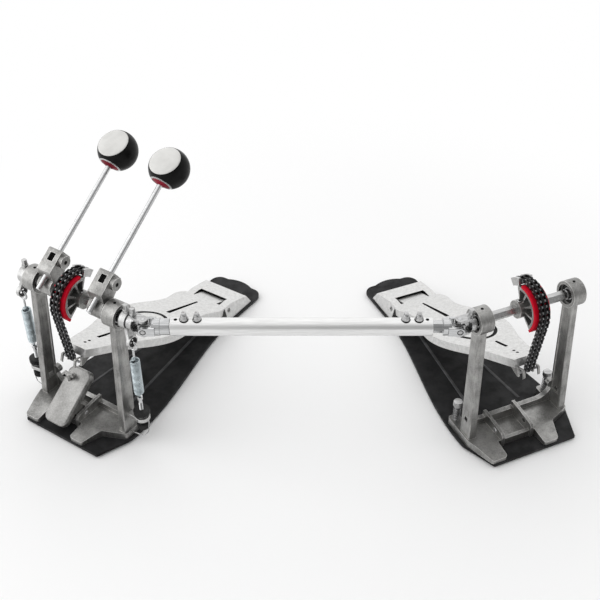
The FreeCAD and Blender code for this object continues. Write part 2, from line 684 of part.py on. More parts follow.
def toe_clip():
    """The forked clip under the toe that holds the chain's last pin in two open slots."""
    half = TOE_CLIP_GAP / 2
    low = -HOOK_DROP - TOE_CLIP_REACH
    seat = BOARD_RISE - BOARD_T
    front = -(HOOK_S + TOE_CLIP_REACH)
    back = -(BOARD_TOE - BOARD_WALL - TOE_CLIP_BACK)
    inside = -(BOARD_TOE - BOARD_WALL - PLAY)
    tray = box(-half - TOE_CLIP_T, half + TOE_CLIP_T, inside, back, seat - TOE_CLIP_T, seat)
    cheeks = []
    wall_low = BOARD_RISE - BOARD_DEPTH - PLAY
    for x in (half, -half - TOE_CLIP_T):
        cheek = [(front, low, TOE_CLIP_REACH / 2), (front, wall_low, TOE_CLIP_T), (inside, wall_low, 0),
                 (inside, seat, 0), (back, seat, 0), (back, seat - TOE_CLIP_T, 0), (inside, low, TOE_CLIP_T)]
        cheeks.append(side_prism(cheek, x, x + TOE_CLIP_T))
    clip = fuse(tray, *cheeks)
    reach = half + TOE_CLIP_T + OVERRUN
    room = HOOK_PIN_R + HOOK_SLOT_PLAY
    slot = [(-HOOK_S - room, low - OVERRUN, 0), (-HOOK_S - room, -HOOK_DROP + room, room - FIT),
            (-HOOK_S + room, -HOOK_DROP + room, room - FIT), (-HOOK_S + room, low - OVERRUN, 0)]
    return place_on_board(clip.cut(side_prism(slot, -reach, reach)))


def hook_point():
    """The chain's last pin, carried by the footboard."""
    turn = math.radians(BOARD_ANGLE)
    y = -HOOK_S * math.cos(turn) - HOOK_DROP * math.sin(turn)
    z = HOOK_S * math.sin(turn) - HOOK_DROP * math.cos(turn)
    return HINGE + V(0, y, z)


def chain_pins():
    """Pin centres from the wheel's clip round the wheel and down to the footboard's hook."""
    hook = hook_point()
    reach = hook - AXIS
    straight = math.sqrt(reach.Length ** 2 - WRAP_R ** 2)
    leave = math.degrees(math.atan2(-reach.z, -reach.y)) - math.degrees(math.acos(WRAP_R / reach.Length))
    tangent = on_wheel(WRAP_R, leave)
    up = (tangent - hook).normalize()
    pins = []
    wrap = WRAP_R * math.radians(leave - CHAIN_START_ANGLE)
    for k in range(round((straight + wrap) / CHAIN_PITCH) + 1):
        run = k * CHAIN_PITCH
        if run <= straight:
            pins.append(hook + up * run)
        else:
            pins.append(on_wheel(WRAP_R, leave - math.degrees((run - straight) / WRAP_R)))
    return pins[::-1]


def chain_start():
    """Angle of the chain's first pin on the wheel."""
    first = chain_pins()[0]
    return math.degrees(math.atan2(SHAFT_HEIGHT - first.z, -first.y))


def link_plate(a, b, x, thickness):
    """One chain plate between two pins: a bar with cut corners, middle of its thickness at x."""
    along = (b - a).normalize()
    up = X_AXIS.cross(along)
    tall, short = LINK_H / 2, LINK_H / 4
    outline = [a - along * tall + up * short, a - along * short + up * tall,
               b + along * short + up * tall, b + along * tall + up * short]
    below = [p - up * 2 * up.dot(p - a) for p in reversed(outline)]
    points = [p + X_AXIS * (x - thickness / 2) for p in outline + below]
    return Part.Face(Part.makePolygon(points + points[:1])).extrude(X_AXIS * thickness)


def inner_link(a, b):
    """Two strands of roller link: a pair of plates and two rollers each."""
    solids = []
    for sign in (1, -1):
        middle = sign * (LINK_T / 2 + STRAND_W / 2)
        for pin in (a, b):
            solids.append(cross_bar(middle - STRAND_W / 2, middle + STRAND_W / 2, ROLLER_R, pin))
        for side in (1, -1):
            solids.append(link_plate(a, b, middle + side * (STRAND_W / 2 - LINK_T / 2), LINK_T))
    return solids


def outer_link(a, b):
    """The pin link over both strands: a middle plate and two outer plates."""
    outside = STRAND_W + LINK_T
    return [link_plate(a, b, x, LINK_T) for x in (-outside, 0, outside)]


def chain_run(pins, first, last):
    """The links from one pin to another as one jointed run."""
    solids = []
    for k in range(first, last):
        make = inner_link if k % 2 else outer_link
        solids += make(pins[k], pins[k + 1])
    return fuse(*solids)


def chain_clip(pins):
    """The clamp that holds the chain's first pin on the wheel."""
    half = STRAND_W + LINK_T + LINK_T / 2
    angle = chain_start()
    back = angle - math.degrees(CLIP_L / WRAP_R)
    middle = angle - math.degrees(LINK_H / 2 / WRAP_R)
    body = wheel_sector(CAM_RIM_R, WRAP_R + LINK_H / 2, back, middle, -half, half)
    cheeks = []
    for x in (half, -half - CLIP_T):
        cheeks.append(wheel_sector(CAM_RIM_R, WRAP_R + LINK_H / 2, back,
                                   angle + math.degrees(CLIP_T / WRAP_R), x, x + CLIP_T))
    pin = cross_bar(-half - CLIP_T, half + CLIP_T, ROLLER_R, pins[0])
    return fuse(body, *cheeks, pin)


def cam():
    """The open sector wheel on the shaft: hub, spokes and rim."""
    half = CAM_W / 2
    first = chain_start()
    rim = wheel_sector(CAM_RIM_R - CAM_RIM_T, CAM_RIM_R, first, CAM_END, -half, half)
    hub = cross_bar(-CAM_HUB_L / 2, CAM_HUB_L / 2, CAM_HUB_R, AXIS)
    spokes = []
    for k in range(CAM_SPOKES):
        angle = first + (CAM_END - first) * k / (CAM_SPOKES - 1)
        spread = math.degrees(CAM_SPOKE_T / CAM_RIM_R)
        start = min(max(angle - spread / 2, first), CAM_END - spread)
        spokes.append(wheel_sector(CAM_HUB_R - CAM_SPOKE_T, CAM_RIM_R - CAM_RIM_T / 2, start, start + spread,
                                   -half, half))
    web = wheel_sector(CAM_HUB_R - CAM_SPOKE_T, CAM_RIM_R - CAM_RIM_T / 2, first, CAM_END,
                       -CAM_WEB_T / 2, CAM_WEB_T / 2)
    wheel = fuse(hub, rim, web, *spokes)
    return wheel.cut(hex_bar(-CAM_HUB_L, CAM_HUB_L, HEX_AF + 2 * FIT, AXIS))


def cam_cushion():
    """The red insert that the chain lies on."""
    half = CUSHION_W / 2
    start = chain_start() + CUSHION_LAG_ANGLE
    return wheel_sector(CAM_RIM_R, CAM_RIM_R + CUSHION_T, start, CAM_END, -half, half)


def rod_frame():
    """Direction up the beater rod, the side it lies on, and its nearest point to the shaft axis."""
    lean = math.radians(BEATER_LEAN)
    up = V(0, math.sin(lean), math.cos(lean))
    side = V(0, -math.cos(lean), math.sin(lean))
    return up, side, AXIS + side * ROD_OFFSET


def lean_over(solid):
    """Lean a piece drawn with its rod upright over the shaft axis towards the heel."""
    solid.rotate(ORIGIN, X_AXIS, -BEATER_LEAN)
    solid.translate(AXIS)
    return solid


def beater_hub(x, bore, lobe_side):
    """A beater clamp: collar on the shaft, block for the rod, side boss for its key bolt."""
    half = HUB_W / 2
    near, far = ROD_OFFSET - HUB_DEPTH / 2, ROD_OFFSET + HUB_DEPTH / 2
    collar = cross_bar(x - half, x + half, HUB_R, ORIGIN)
    block = side_prism([(-far, HUB_BASE, HUB_EDGE), (-far, HUB_TOP, HUB_EDGE), (-near, HUB_TOP, HUB_EDGE),
                        (-near + HUB_R / 2, HUB_R / 2, 0), (-near + HUB_R / 2, 0, 0), (-near, 0, 0)],
                       x - half, x + half)
    inner = x + lobe_side * half
    x0, x1 = sorted((inner - lobe_side * HUB_BOLT_L, inner + lobe_side * HUB_BOLT_L))
    boss = cross_bar(x0, x1, HUB_BOLT_R, V(0, -ROD_OFFSET, HUB_BOLT_AT))
    hub = fuse(collar, block, boss)
    slot = HUB_WINDOW / 2
    foot = HUB_BOLT_AT - HUB_WINDOW_H * HUB_WINDOW_DROP_SHARE
    window = box(x - slot, x + slot, -far - OVERRUN, HUB_WINDOW_T - far, foot, foot + HUB_WINDOW_H)
    rod = bar(V(x, -ROD_OFFSET, -HUB_TOP), Z_AXIS, 3 * HUB_TOP, ROD_R + FIT)
    hub = lean_over(hub.cut([window, rod]))
    return hub.cut(bore)


def beater_rod(x):
    """The straight rod from below its hub to the middle of the ball."""
    return lean_over(bar(V(x, -ROD_OFFSET, -ROD_TAIL), Z_AXIS, BALL_REACH + ROD_TAIL, ROD_R))


def beater_head(x):
    """The ball with a flat for its striking face, a flat felt side, and a flat cap under it."""
    centre = V(x, -ROD_OFFSET, BALL_REACH)
    flat = math.sqrt(BALL_R ** 2 - FACE_R ** 2)
    ball = Part.makeSphere(BALL_R, centre)
    cap = math.sqrt(BALL_R ** 2 - CAP_R ** 2)
    far = 2 * BALL_R
    front = box(x - far, x + far, centre.y - far, centre.y - flat + FACE_T / 2,
                centre.z - far, centre.z + far)
    under = box(x - far, x + far, centre.y - far, centre.y + far, centre.z - far, centre.z - cap)
    rod = bar(centre - V(0, 0, far), Z_AXIS, far, ROD_R + FIT)
    return lean_over(ball.cut([front, under, rod]))


def beater_face(x):
    """The hard striking disc on the ball, slightly crowned."""
    flat = math.sqrt(BALL_R ** 2 - FACE_R ** 2)
    start = V(x, -ROD_OFFSET - flat + FACE_T / 2, BALL_REACH)
    disc = bar(start, -Y_AXIS, FACE_T, FACE_R)
    rim = [e for e in disc.Edges if e.BoundBox.YLength < FIT and e.BoundBox.YMin < start.y - FACE_T / 2]
    return lean_over(disc.makeFillet(FACE_T / 2, rim))


def primary_shaft():
    """The hexagonal shaft with a bearing journal on the left and a pilot end in the driven sleeve."""
    inside = HALF_SPAN - HOUSING_L / 2 - PLAY
    sleeve = HUB_X - HUB_W / 2 - PLAY
    core = hex_bar(-inside, sleeve, HEX_AF, AXIS)
    journal = cross_bar(-ROCKER_X - ROCKER_W / 2, -inside, JOURNAL_R, AXIS)
    pilot = cross_bar(sleeve, HALF_SPAN, PILOT_R, AXIS)
    return fuse(core, journal, pilot)


def slave_shaft():
    """The slave's hexagonal shaft with journals at both ends and the fork of its universal joint."""
    inside = HALF_SPAN - HOUSING_L / 2 - PLAY
    core = hex_bar(-inside, inside, HEX_AF, AXIS)
    right = cross_bar(inside, HALF_SPAN + HOUSING_L / 2, JOURNAL_R, AXIS)
    fork = yoke(True)
    fork.rotate(ORIGIN, Z_AXIS, HALF_TURN)
    fork.translate(V(SLAVE_JOINT_X, 0, SHAFT_HEIGHT))
    left = cross_bar(SLAVE_JOINT_X + YOKE_THROAT, -inside, JOURNAL_R, AXIS)
    return fuse(core, right, left, fork)


def driven_sleeve():
    """The hollow shaft of the second beater, through the right bearing to the universal joint."""
    start = HUB_X - HUB_W / 2
    end = PRIMARY_JOINT_X - YOKE_THROAT
    sleeve = cross_bar(start, end, SLEEVE_R, AXIS)
    fork = yoke(True)
    fork.translate(V(PRIMARY_JOINT_X, 0, SHAFT_HEIGHT))
    pilot = cross_bar(start - OVERRUN, HALF_SPAN + PLAY, PILOT_R + FIT, AXIS)
    return fuse(sleeve, fork).cut(pilot)


def yoke(keyed):
    """A fork whose ears stand above and below the joint centre, its body towards minus x."""
    back = YOKE_THROAT + PLAY
    outer = EAR_INNER + EAR_T
    throat = -YOKE_THROAT
    body = cross_bar(-back - YOKE_BODY_R / 2, throat + EAR_T, YOKE_BODY_R, ORIGIN)
    solids = [body]
    for sign in (1, -1):
        low, high = sorted((sign * EAR_INNER, sign * outer))
        root = box(throat, 0, -EAR_HALF, EAR_HALF, low, high)
        tip = bar(V(0, 0, low), Z_AXIS, EAR_T, EAR_REACH)
        solids.append(fuse(root, tip))
    if keyed:
        solids.append(key_bolt(V(-back - KEY_BASE_R / 4, 0, 0), YOKE_BODY_R))
    fork = fuse(*solids)
    gap = box(throat + EAR_T / 2, OVERRUN, -YOKE_BODY_R, YOKE_BODY_R, -EAR_INNER, EAR_INNER)
    pin = bar(V(0, 0, -outer - OVERRUN), Z_AXIS, 2 * (outer + OVERRUN), CROSS_PIN_R + FIT)
    return fork.cut([gap, pin])


def bar_fork():
    """The drive bar's fork: ears to either side, pin holes with room for the cross, body towards plus x."""
    fork = yoke(False)
    outer = EAR_INNER + EAR_T + OVERRUN
    fork = fork.cut(bar(V(0, 0, -outer), Z_AXIS, 2 * outer, CROSS_PIN_R + CROSS_PLAY))
    fork.rotate(ORIGIN, Z_AXIS, HALF_TURN)
    fork.rotate(ORIGIN, X_AXIS, QUARTER_TURN)
    return fork


def joint_cross():
    """A universal joint's cross: a block with an upright pin and a pin square to the drive bar."""
    block = box(-CROSS_HALF, CROSS_HALF, -CROSS_HALF, CROSS_HALF, -CROSS_HALF, CROSS_HALF)
    reach = EAR_INNER + EAR_T
    upright = bar(V(0, 0, -reach), Z_AXIS, 2 * reach, CROSS_PIN_R)
    across = bar(V(0, -reach, 0), Y_AXIS, 2 * reach, CROSS_PIN_R)
    return fuse(block, upright, across)


def bar_half(length, collar):
    """One half of the drive bar from its universal joint: fork, collar and hexagonal bar."""
    start = YOKE_THROAT - EAR_T
    solids = [bar_fork(), hex_bar(start, length, BAR_HEX_AF, ORIGIN)]
    if collar:
        edge = LINK_LENGTH / 2 - TUBE_L / 2 - PLAY
        solids.append(cross_bar(edge - BAR_COLLAR_L, edge, BAR_COLLAR_R, ORIGIN))
    return fuse(*solids)


def link_tube():
    """The bright outer tube of the drive bar, round its middle."""
    return ring(V(-TUBE_L / 2, 0, 0), X_AXIS, TUBE_L, TUBE_R, TUBE_BORE_R)


def key_bolt(centre, radius):
    """A square-headed key bolt standing on top of a round bar."""
    base = bar(centre, Z_AXIS, radius + KEY_BASE_T, KEY_BASE_R)
    half = KEY_HEAD / 2
    corners = [(centre.x + a * half, centre.y + b * half, half / 2)
               for a, b in ((1, 1), (-1, 1), (-1, -1), (1, -1))]
    head = plan_prism(corners, centre.z + radius, centre.z + radius + KEY_BASE_T + KEY_HEAD_T)
    return fuse(base, head)


def key_bolts():
    """The four key bolts that hold the two bars in the tube."""
    places = [sign * (TUBE_L / 2 - at) for sign in (1, -1) for at in KEY_BOLT_AT]
    reach = TUBE_L / 2 + OVERRUN
    seat = cross_bar(-reach, reach, TUBE_R, ORIGIN)
    return Part.makeCompound([key_bolt(V(x, 0, 0), TUBE_R).cut(seat) for x in places])


def rocker(bore, side):
    """A rocker on one shaft end: a collar and an arm that leans out to the eye of the spring's hook."""
    x, out = side * ROCKER_X, side * SPRING_X
    half = ROCKER_W / 2
    collar = cross_bar(x - half, x + half, ROCKER_R, AXIS)
    thin = EYE_W / 2
    eye = cross_bar(out - thin, out + thin, EYE_R, EYE)
    down = (EYE - AXIS).normalize()
    wide = X_AXIS.cross(down) * (EYE_R - HOOK_WIRE_R)
    thick = X_AXIS * thin
    ends = []
    for middle in (AXIS + X_AXIS * x, EYE + X_AXIS * out):
        corners = [middle + wide + thick, middle + wide - thick, middle - wide - thick, middle - wide + thick]
        ends.append(Part.makePolygon(corners + corners[:1]))
    arm = Part.makeLoft(ends, True, True)
    solid = fuse(collar, eye, arm, key_bolt(AXIS + V(x, 0, 0), ROCKER_R))
    return solid.cut([cross_bar(out - ROCKER_W, out + ROCKER_W, EYE_HOLE_R, EYE),
                      cross_bar(x - ROCKER_W, x + ROCKER_W, bore + FIT, AXIS)])


def spring_hook(side):
    """The hook between a rocker's eye and its spring: a ring through the eye on a short shank."""
    centre = EYE + V(side * SPRING_X, 0, -HOOK_RING_R)
    loop = Part.makeTorus(HOOK_RING_R, HOOK_WIRE_R, centre, Y_AXIS)
    bottom = COIL_TOP + COIL_LEAD
    shank = bar(V(centre.x, centre.y, bottom), Z_AXIS, centre.z - HOOK_RING_R - bottom, HOOK_WIRE_R)
    return fuse(loop, shank)


def biarc(p, leave, q, arrive):
    """Two arcs from p to q that keep the direction at both ends."""
    chord = q - p
    both = leave + arrive
    square = 2 * (1 - leave.dot(arrive))
    lean = chord.dot(both)
    reach = (math.sqrt(lean ** 2 + square * chord.dot(chord)) - lean) / square
    first, second = p + leave * reach, q - arrive * reach
    joint = (first + second) * 0.5
    edges = []
    for start, corner, end in ((p, first, joint), (joint, second, q)):
        middle = (start + end) * 0.5
        half_chord = (end - start).Length / 2
        height = (corner - middle).Length
        radius = half_chord * math.hypot(half_chord, height) / height
        sag = radius - math.sqrt(radius ** 2 - half_chord ** 2)
        edges.append(arc(start, middle + (corner - middle).normalize() * sag, end))
    return edges


def self_gap(path):
    """Least gap of a coil's wire to its own other turns, measured on points along its path."""
    count = round(path.Length / COIL_WIRE_R)
    points = path.discretize(Number=count)
    apart = round(math.pi * COIL_R / COIL_WIRE_R)
    nearest = min((points[i] - points[k]).Length for i in range(count) for k in range(i + apart, count))
    return nearest - 2 * COIL_WIRE_R


def coil_spring(side):
    """An extension spring: close coils whose wire runs in to the axis and straight out at both ends."""
    x, y = side * SPRING_X, EYE_Y
    pitch = (COIL_TOP - COIL_BOTTOM) / COIL_TURNS
    rise = pitch / (2 * math.pi * COIL_R)
    turns = []
    for k in range(2 * COIL_TURNS + 1):
        angle = k * math.pi
        around = V(math.cos(angle), math.sin(angle), 0)
        place = V(x, y, COIL_BOTTOM + k * pitch / 2) + around * COIL_R
        turns.append((place, (V(-around.y, around.x, rise)).normalize()))
    bottom = V(x, y, COIL_BOTTOM - COIL_LEAD)
    top = V(x, y, COIL_TOP + COIL_LEAD)
    stub = Z_AXIS * (2 * COIL_WIRE_R)
    edges = [line(bottom, bottom + stub)]
    edges += biarc(bottom + stub, Z_AXIS, *turns[0])
    for (p, leave), (q, arrive) in zip(turns, turns[1:]):
        edges += biarc(p, leave, q, arrive)
    edges += biarc(*turns[-1], top - stub, Z_AXIS)
    edges.append(line(top - stub, top))
    path = Part.Wire(edges)
    section = Part.Wire(Part.Circle(bottom, Z_AXIS, COIL_WIRE_R).toShape())
    print("coil gap to itself %.2f mm" % self_gap(path))
    return path.makePipeShell([section], True, False)


def spring_rod(side):
    """The threaded rod below a spring with its lock nut and lower knob."""
    x = side * SPRING_X
    top = COIL_BOTTOM - COIL_LEAD
    rod = bar(V(x, EYE_Y, SPRING_ROD_END), Z_AXIS, top - SPRING_ROD_END, SPRING_ROD_R)
    seat = BRACKET_Z - BRACKET_T / 2 - LOCK_NUT_PLAY
    knob = bar(V(x, EYE_Y, seat - LOCK_NUT_T - LOWER_KNOB_T), Z_AXIS, LOWER_KNOB_T, LOWER_KNOB_R)
    radius = LOCK_NUT_AF / math.sqrt(3)
    nut = plan_prism([(x + radius * math.cos(math.radians(a)), EYE_Y + radius * math.sin(math.radians(a)), 0)
                      for a in range(0, 360, 60)], seat - LOCK_NUT_T, seat)
    return fuse(rod, knob, nut)


def tension_knob(side):
    """The knurled knob that sets a spring's tension, on a domed seat over its bracket."""
    x = side * SPRING_X
    seat = BRACKET_Z + BRACKET_T / 2 + BRACKET_PLAY
    base = KNOB_BASE
    wheel = bar(V(x, EYE_Y, base), Z_AXIS, UPPER_KNOB_T, UPPER_KNOB_R)
    notches = []
    for k in range(KNOB_NOTCHES):
        angle = 2 * math.pi * k / KNOB_NOTCHES
        place = V(x + UPPER_KNOB_R * math.cos(angle), EYE_Y + UPPER_KNOB_R * math.sin(angle), base - OVERRUN)
        notches.append(bar(place, Z_AXIS, UPPER_KNOB_T + 2 * OVERRUN, KNOB_NOTCH_R))
    wheel = wheel.cut(notches)
    dome = Part.makeCone(KNOB_DOME_R / 2 + SPRING_ROD_R / 2, KNOB_DOME_R, base - seat,
                         V(x, EYE_Y, seat), Z_AXIS)
    knob = fuse(wheel, dome)
    return knob.cut(bar(V(x, EYE_Y, 0), Z_AXIS, SHAFT_HEIGHT, SPRING_ROD_R + FIT))


def spring_bracket(side):
    """The bracket whose tongue sits in the post's window and whose ring guides a spring rod."""
    y = post_y(WINDOW_Z)
    half = WINDOW / 2 - FIT
    middle = HALF_SPAN + post_x(WINDOW_Z)
    inner = middle - POST_HEAD[0] / 2
    low, high = BRACKET_Z - BRACKET_T / 2, BRACKET_Z + BRACKET_T / 2
    tongue = box(inner, SPRING_X, y - half, y + half, low, high)
    disc = bar(V(SPRING_X, EYE_Y, low), Z_AXIS, BRACKET_T, BRACKET_R)
    post_face = middle + POST_BASE[0] / 2 + PLAY
    web = plan_prism([(post_face, y - half, 0), (SPRING_X, EYE_Y - BRACKET_R + PLAY, 0),
                      (SPRING_X, EYE_Y + BRACKET_R - PLAY, 0), (post_face, y + WINDOW, 0)], low, high)
    hole = bar(V(SPRING_X, EYE_Y, 0), Z_AXIS, SHAFT_HEIGHT, SPRING_ROD_R + BRACKET_PLAY)
    bracket = fuse(tongue, disc, web).cut(hole)
    return bracket if side > 0 else mirrored(bracket)


def hoop_lever():
    """The rocking clamp plate with a lug on its pivot pin and a hole for the clamp screw."""
    nose, rear = V(0, *LEVER_NOSE), V(0, *LEVER_REAR)
    pivot = V(0, *LEVER_PIVOT)
    along = (rear - nose).normalize()
    up = X_AXIS.cross(along) * -1
    if up.z < 0:
        up = up * -1
    x0, x1 = LEVER_X - LEVER_W / 2 + PLAY, LEVER_X + LEVER_W / 2 - PLAY
    length = (rear - nose).Length
    angle = math.degrees(math.atan2(along.z, along.y))
    paddle = plan_prism([(x0, 0, LEVER_CORNER_R), (x1, 0, LEVER_CORNER_R), (x1, length, LEVER_CORNER_R),
                         (x0, length, LEVER_CORNER_R)], 0, LEVER_T)
    top = [e for e in paddle.Edges if e.BoundBox.ZMin > LEVER_T - FIT]
    paddle = paddle.makeFillet(LEVER_T / 3, top)
    paddle.rotate(ORIGIN, X_AXIS, angle)
    paddle.translate(nose)
    lug = cross_bar(x0, x1, LEVER_LUG_R, pivot)
    span = up * (LEVER_T / 2)
    middle = nose + along * along.dot(pivot - nose) + span
    reach = along * LEVER_LUG_R
    start = V(x0, 0, 0)
    neck = Part.Face(Part.makePolygon([start + p for p in (pivot - reach, pivot + reach, middle + reach,
                                                           middle - reach, pivot - reach)]))
    neck = neck.extrude(V(x1 - x0, 0, 0))
    lever = fuse(paddle, lug, neck)
    hole = bar(V(CLAMP_SCREW_X, CLAMP_SCREW_Y, PLATE_TOP), Z_AXIS, SHAFT_HEIGHT, CLAMP_SCREW_R + FIT)
    return lever.cut([cross_bar(x0 - OVERRUN, x1 + OVERRUN, LEVER_PIN_R + FIT, pivot), hole])


def lever_pin():
    """The clamp lever's pivot pin through both fins."""
    return cross_bar(FIN_X[0] - FIN_T / 2, FIN_X[1] + FIN_T / 2, LEVER_PIN_R, V(0, *LEVER_PIVOT))


def lever_top(y):
    """Height of the clamp lever's upper face at a place along the pedal."""
    slope = (LEVER_REAR[1] - LEVER_NOSE[1]) / (LEVER_REAR[0] - LEVER_NOSE[0])
    return LEVER_NOSE[1] + slope * (y - LEVER_NOSE[0]) + LEVER_T * math.hypot(1, slope)


def clamp_screw():
    """The wing screw that tips the clamp lever."""
    x, y = CLAMP_SCREW_X, CLAMP_SCREW_Y
    foot = PLATE_TOP + FOOT_T - FOOT_NOSE_T + PLAY
    seat = lever_top(y + WING_HUB_R) + CLAMP_RUN + PLAY
    shank = bar(V(x, y, foot), Z_AXIS, seat - foot + WING_HUB_T, CLAMP_SCREW_R)
    hub = bar(V(x, y, seat), Z_AXIS, WING_HUB_T, WING_HUB_R)
    wing = plan_prism([(-WING_HALF, 0, 0), (WING_HALF, 0, 0), (WING_HALF, WING_H, WING_T),
                       (0, WING_T, WING_T), (-WING_HALF, WING_H, WING_T)], -WING_T / 2, WING_T / 2)
    wing.rotate(ORIGIN, X_AXIS, QUARTER_TURN)
    wing.translate(V(x, y, seat + WING_T / 2))
    return fuse(shank, hub, wing)


def spur_screw(side):
    """A sprung spur screw at a rear corner of the slave pedal."""
    x = side * SPUR_X
    shank = bar(V(x, SPUR_Y, SPUR_LIFT + SPUR_TIP), Z_AXIS, SPUR_L - SPUR_TIP, SPUR_R)
    tip = Part.makeCone(SPUR_R / 4, SPUR_R, SPUR_TIP, V(x, SPUR_Y, SPUR_LIFT), Z_AXIS)
    head = bar(V(x, SPUR_Y, SPUR_LIFT + SPUR_L), Z_AXIS, SPUR_HEAD_T, SPUR_HEAD_R)
    return fuse(tip, shank, head)


def frame_pieces(name):
    """The pieces that either pedal's frame is made of."""
    return {
        name + "_base_plate": base_plate(),
        name + "_base_pads": grip_pads(),
        name + "_pedestal": pedestal(),
        name + "_heel_plate": heel_plate(),
    }


def drive_pieces(name):
    """Footboard, cam wheel and chain of either pedal."""
    pins = chain_pins()
    first, second, third = BREAK_LINKS
    wrap = [chain_clip(pins), chain_run(pins, 0, first)]
    tail = chain_run(pins, third, len(pins) - 1)
    hook = cross_bar(-HOOK_PIN_HALF, HOOK_PIN_HALF, HOOK_PIN_R, pins[-1])
    return {
        name + "_footboard": footboard(),
        name + "_toe_clip": toe_clip(),
        name + "_cam": cam(),
        name + "_cam_cushion": cam_cushion(),
        name + "_chain_wrap": Part.makeCompound(wrap),
        name + "_chain_upper": chain_run(pins, first, second),
        name + "_chain_lower": chain_run(pins, second, third),
        name + "_chain_tail": fuse(tail, hook),
    }


def primary_pieces():
    """Everything that stands on the primary pedal."""
    shaft_bore = cross_bar(-HOUSING_SPAN, HOUSING_SPAN, SLEEVE_R + FIT, AXIS)
    hex_bore = hex_bar(-HOUSING_SPAN, HOUSING_SPAN, HEX_AF + 2 * FIT, AXIS)
    pieces = frame_pieces("primary")
    pieces.update(drive_pieces("primary"))
    pieces["primary_bearings"] = Part.makeCompound([bearing(-HALF_SPAN, JOURNAL_R),
                                                    bearing(HALF_SPAN, SLEEVE_R)])
    pieces["primary_hinge_pins"] = Part.makeCompound([hinge_pin(), lever_pin()])
    pieces["primary_hex_shaft"] = primary_shaft()
    pieces["primary_beater_hub"] = beater_hub(-HUB_X, hex_bore, 1)
    pieces["secondary_sleeve"] = driven_sleeve()
    pieces["secondary_beater_hub"] = beater_hub(HUB_X, shaft_bore, 1)
    for name, x in (("primary", -HUB_X), ("secondary", HUB_X)):
        pieces[name + "_beater_rod"] = beater_rod(x)
        pieces[name + "_beater_head"] = beater_head(x)
        pieces[name + "_beater_face"] = beater_face(x)
    for name, side, bore in (("left", -1, JOURNAL_R), ("right", 1, SLEEVE_R)):
        pieces[name + "_rocker"] = rocker(bore, side)
        pieces[name + "_spring_hook"] = spring_hook(side)
        pieces[name + "_spring"] = coil_spring(side)
        pieces[name + "_spring_rod"] = spring_rod(side)
        pieces[name + "_tension_knob"] = tension_knob(side)
    pieces["spring_brackets"] = Part.makeCompound([spring_bracket(side) for side in (-1, 1)])
    pieces["hoop_lever"] = hoop_lever()
    pieces["clamp_screw"] = clamp_screw()
    cross = joint_cross()
    cross.rotate(ORIGIN, Z_AXIS, -PRIMARY_YAW)
    cross.translate(V(PRIMARY_JOINT_X, 0, SHAFT_HEIGHT))
    pieces["primary_joint_cross"] = cross
    return pieces


def slave_pieces():
    """Everything that stands on the slave pedal."""
    pieces = frame_pieces("slave")
    pieces.update(drive_pieces("slave"))
    pieces["slave_bearings"] = Part.makeCompound([bearing(side * HALF_SPAN, JOURNAL_R) for side in (-1, 1)])
    pieces["slave_hinge_pin"] = hinge_pin()
    pieces["slave_hex_shaft"] = slave_shaft()
    pieces["left_spur_screw"] = spur_screw(-1)
    pieces["right_spur_screw"] = spur_screw(1)
    cross = joint_cross()
    cross.rotate(ORIGIN, Z_AXIS, -SLAVE_YAW)
    cross.translate(V(SLAVE_JOINT_X, 0, SHAFT_HEIGHT))
    pieces["slave_joint_cross"] = cross
    return pieces


def bar_pieces():
    """The drive bar round its middle, along x."""
    start = -LINK_LENGTH / 2
    primary = bar_half(TUBE_INSET + PRIMARY_BAR_SHARE * TUBE_L, True)
    primary.translate(V(start, 0, 0))
    slave = bar_half(TUBE_INSET + SLAVE_BAR_SHARE * TUBE_L, False)
    slave.rotate(ORIGIN, Z_AXIS, HALF_TURN)
    slave.translate(V(-start, 0, 0))
    return {"primary_drive_bar": primary, "link_tube": link_tube(), "tube_key_bolts": key_bolts(),
            "slave_drive_bar": slave}


def pedal_place(yaw, joint_x, end):
    """Where a pedal stands so that its universal joint meets its end of the drive bar."""
    turn = FreeCAD.Rotation(Z_AXIS, yaw)
    return FreeCAD.Placement(V(end * LINK_LENGTH / 2, 0, 0) - turn.multVec(V(joint_x, 0, 0)), turn)


def assemble():
    """All pieces in the part's frame: the drive bar along x, its box centred on the origin."""
    groups = ((primary_pieces(), pedal_place(PRIMARY_YAW, PRIMARY_JOINT_X, -1)),
              (slave_pieces(), pedal_place(SLAVE_YAW, SLAVE_JOINT_X, 1)),
              (bar_pieces(), FreeCAD.Placement(AXIS, FreeCAD.Rotation())))
    pieces = {}
    whole = FreeCAD.BoundBox()
    for group, place in groups:
        for name, shape in group.items():
            shape.Placement = place.multiply(shape.Placement)
            pieces[name] = shape
            whole.add(shape.optimalBoundingBox())
    shift = V(-whole.Center.x, -whole.Center.y, -whole.ZMin)
    for shape in pieces.values():
        shape.translate(shift)
    return pieces, shift


os.makedirs("parts", exist_ok=True)
PIECES, SHIFT = assemble()
for node, shape in PIECES.items():
    shape.exportStep(os.path.join("parts", node + ".step"))
    print(node, len(shape.Solids), shape.isValid(), round(shape.Volume, 1))
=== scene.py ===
"""Looks of a double bass drum pedal: two cast pedals joined by a telescopic drive bar."""

import json
import logging
import math
from dataclasses import dataclass
from enum import Enum
from typing import Any, Callable, Optional, Sequence

import bmesh
import bpy
from mathutils import Matrix, Vector

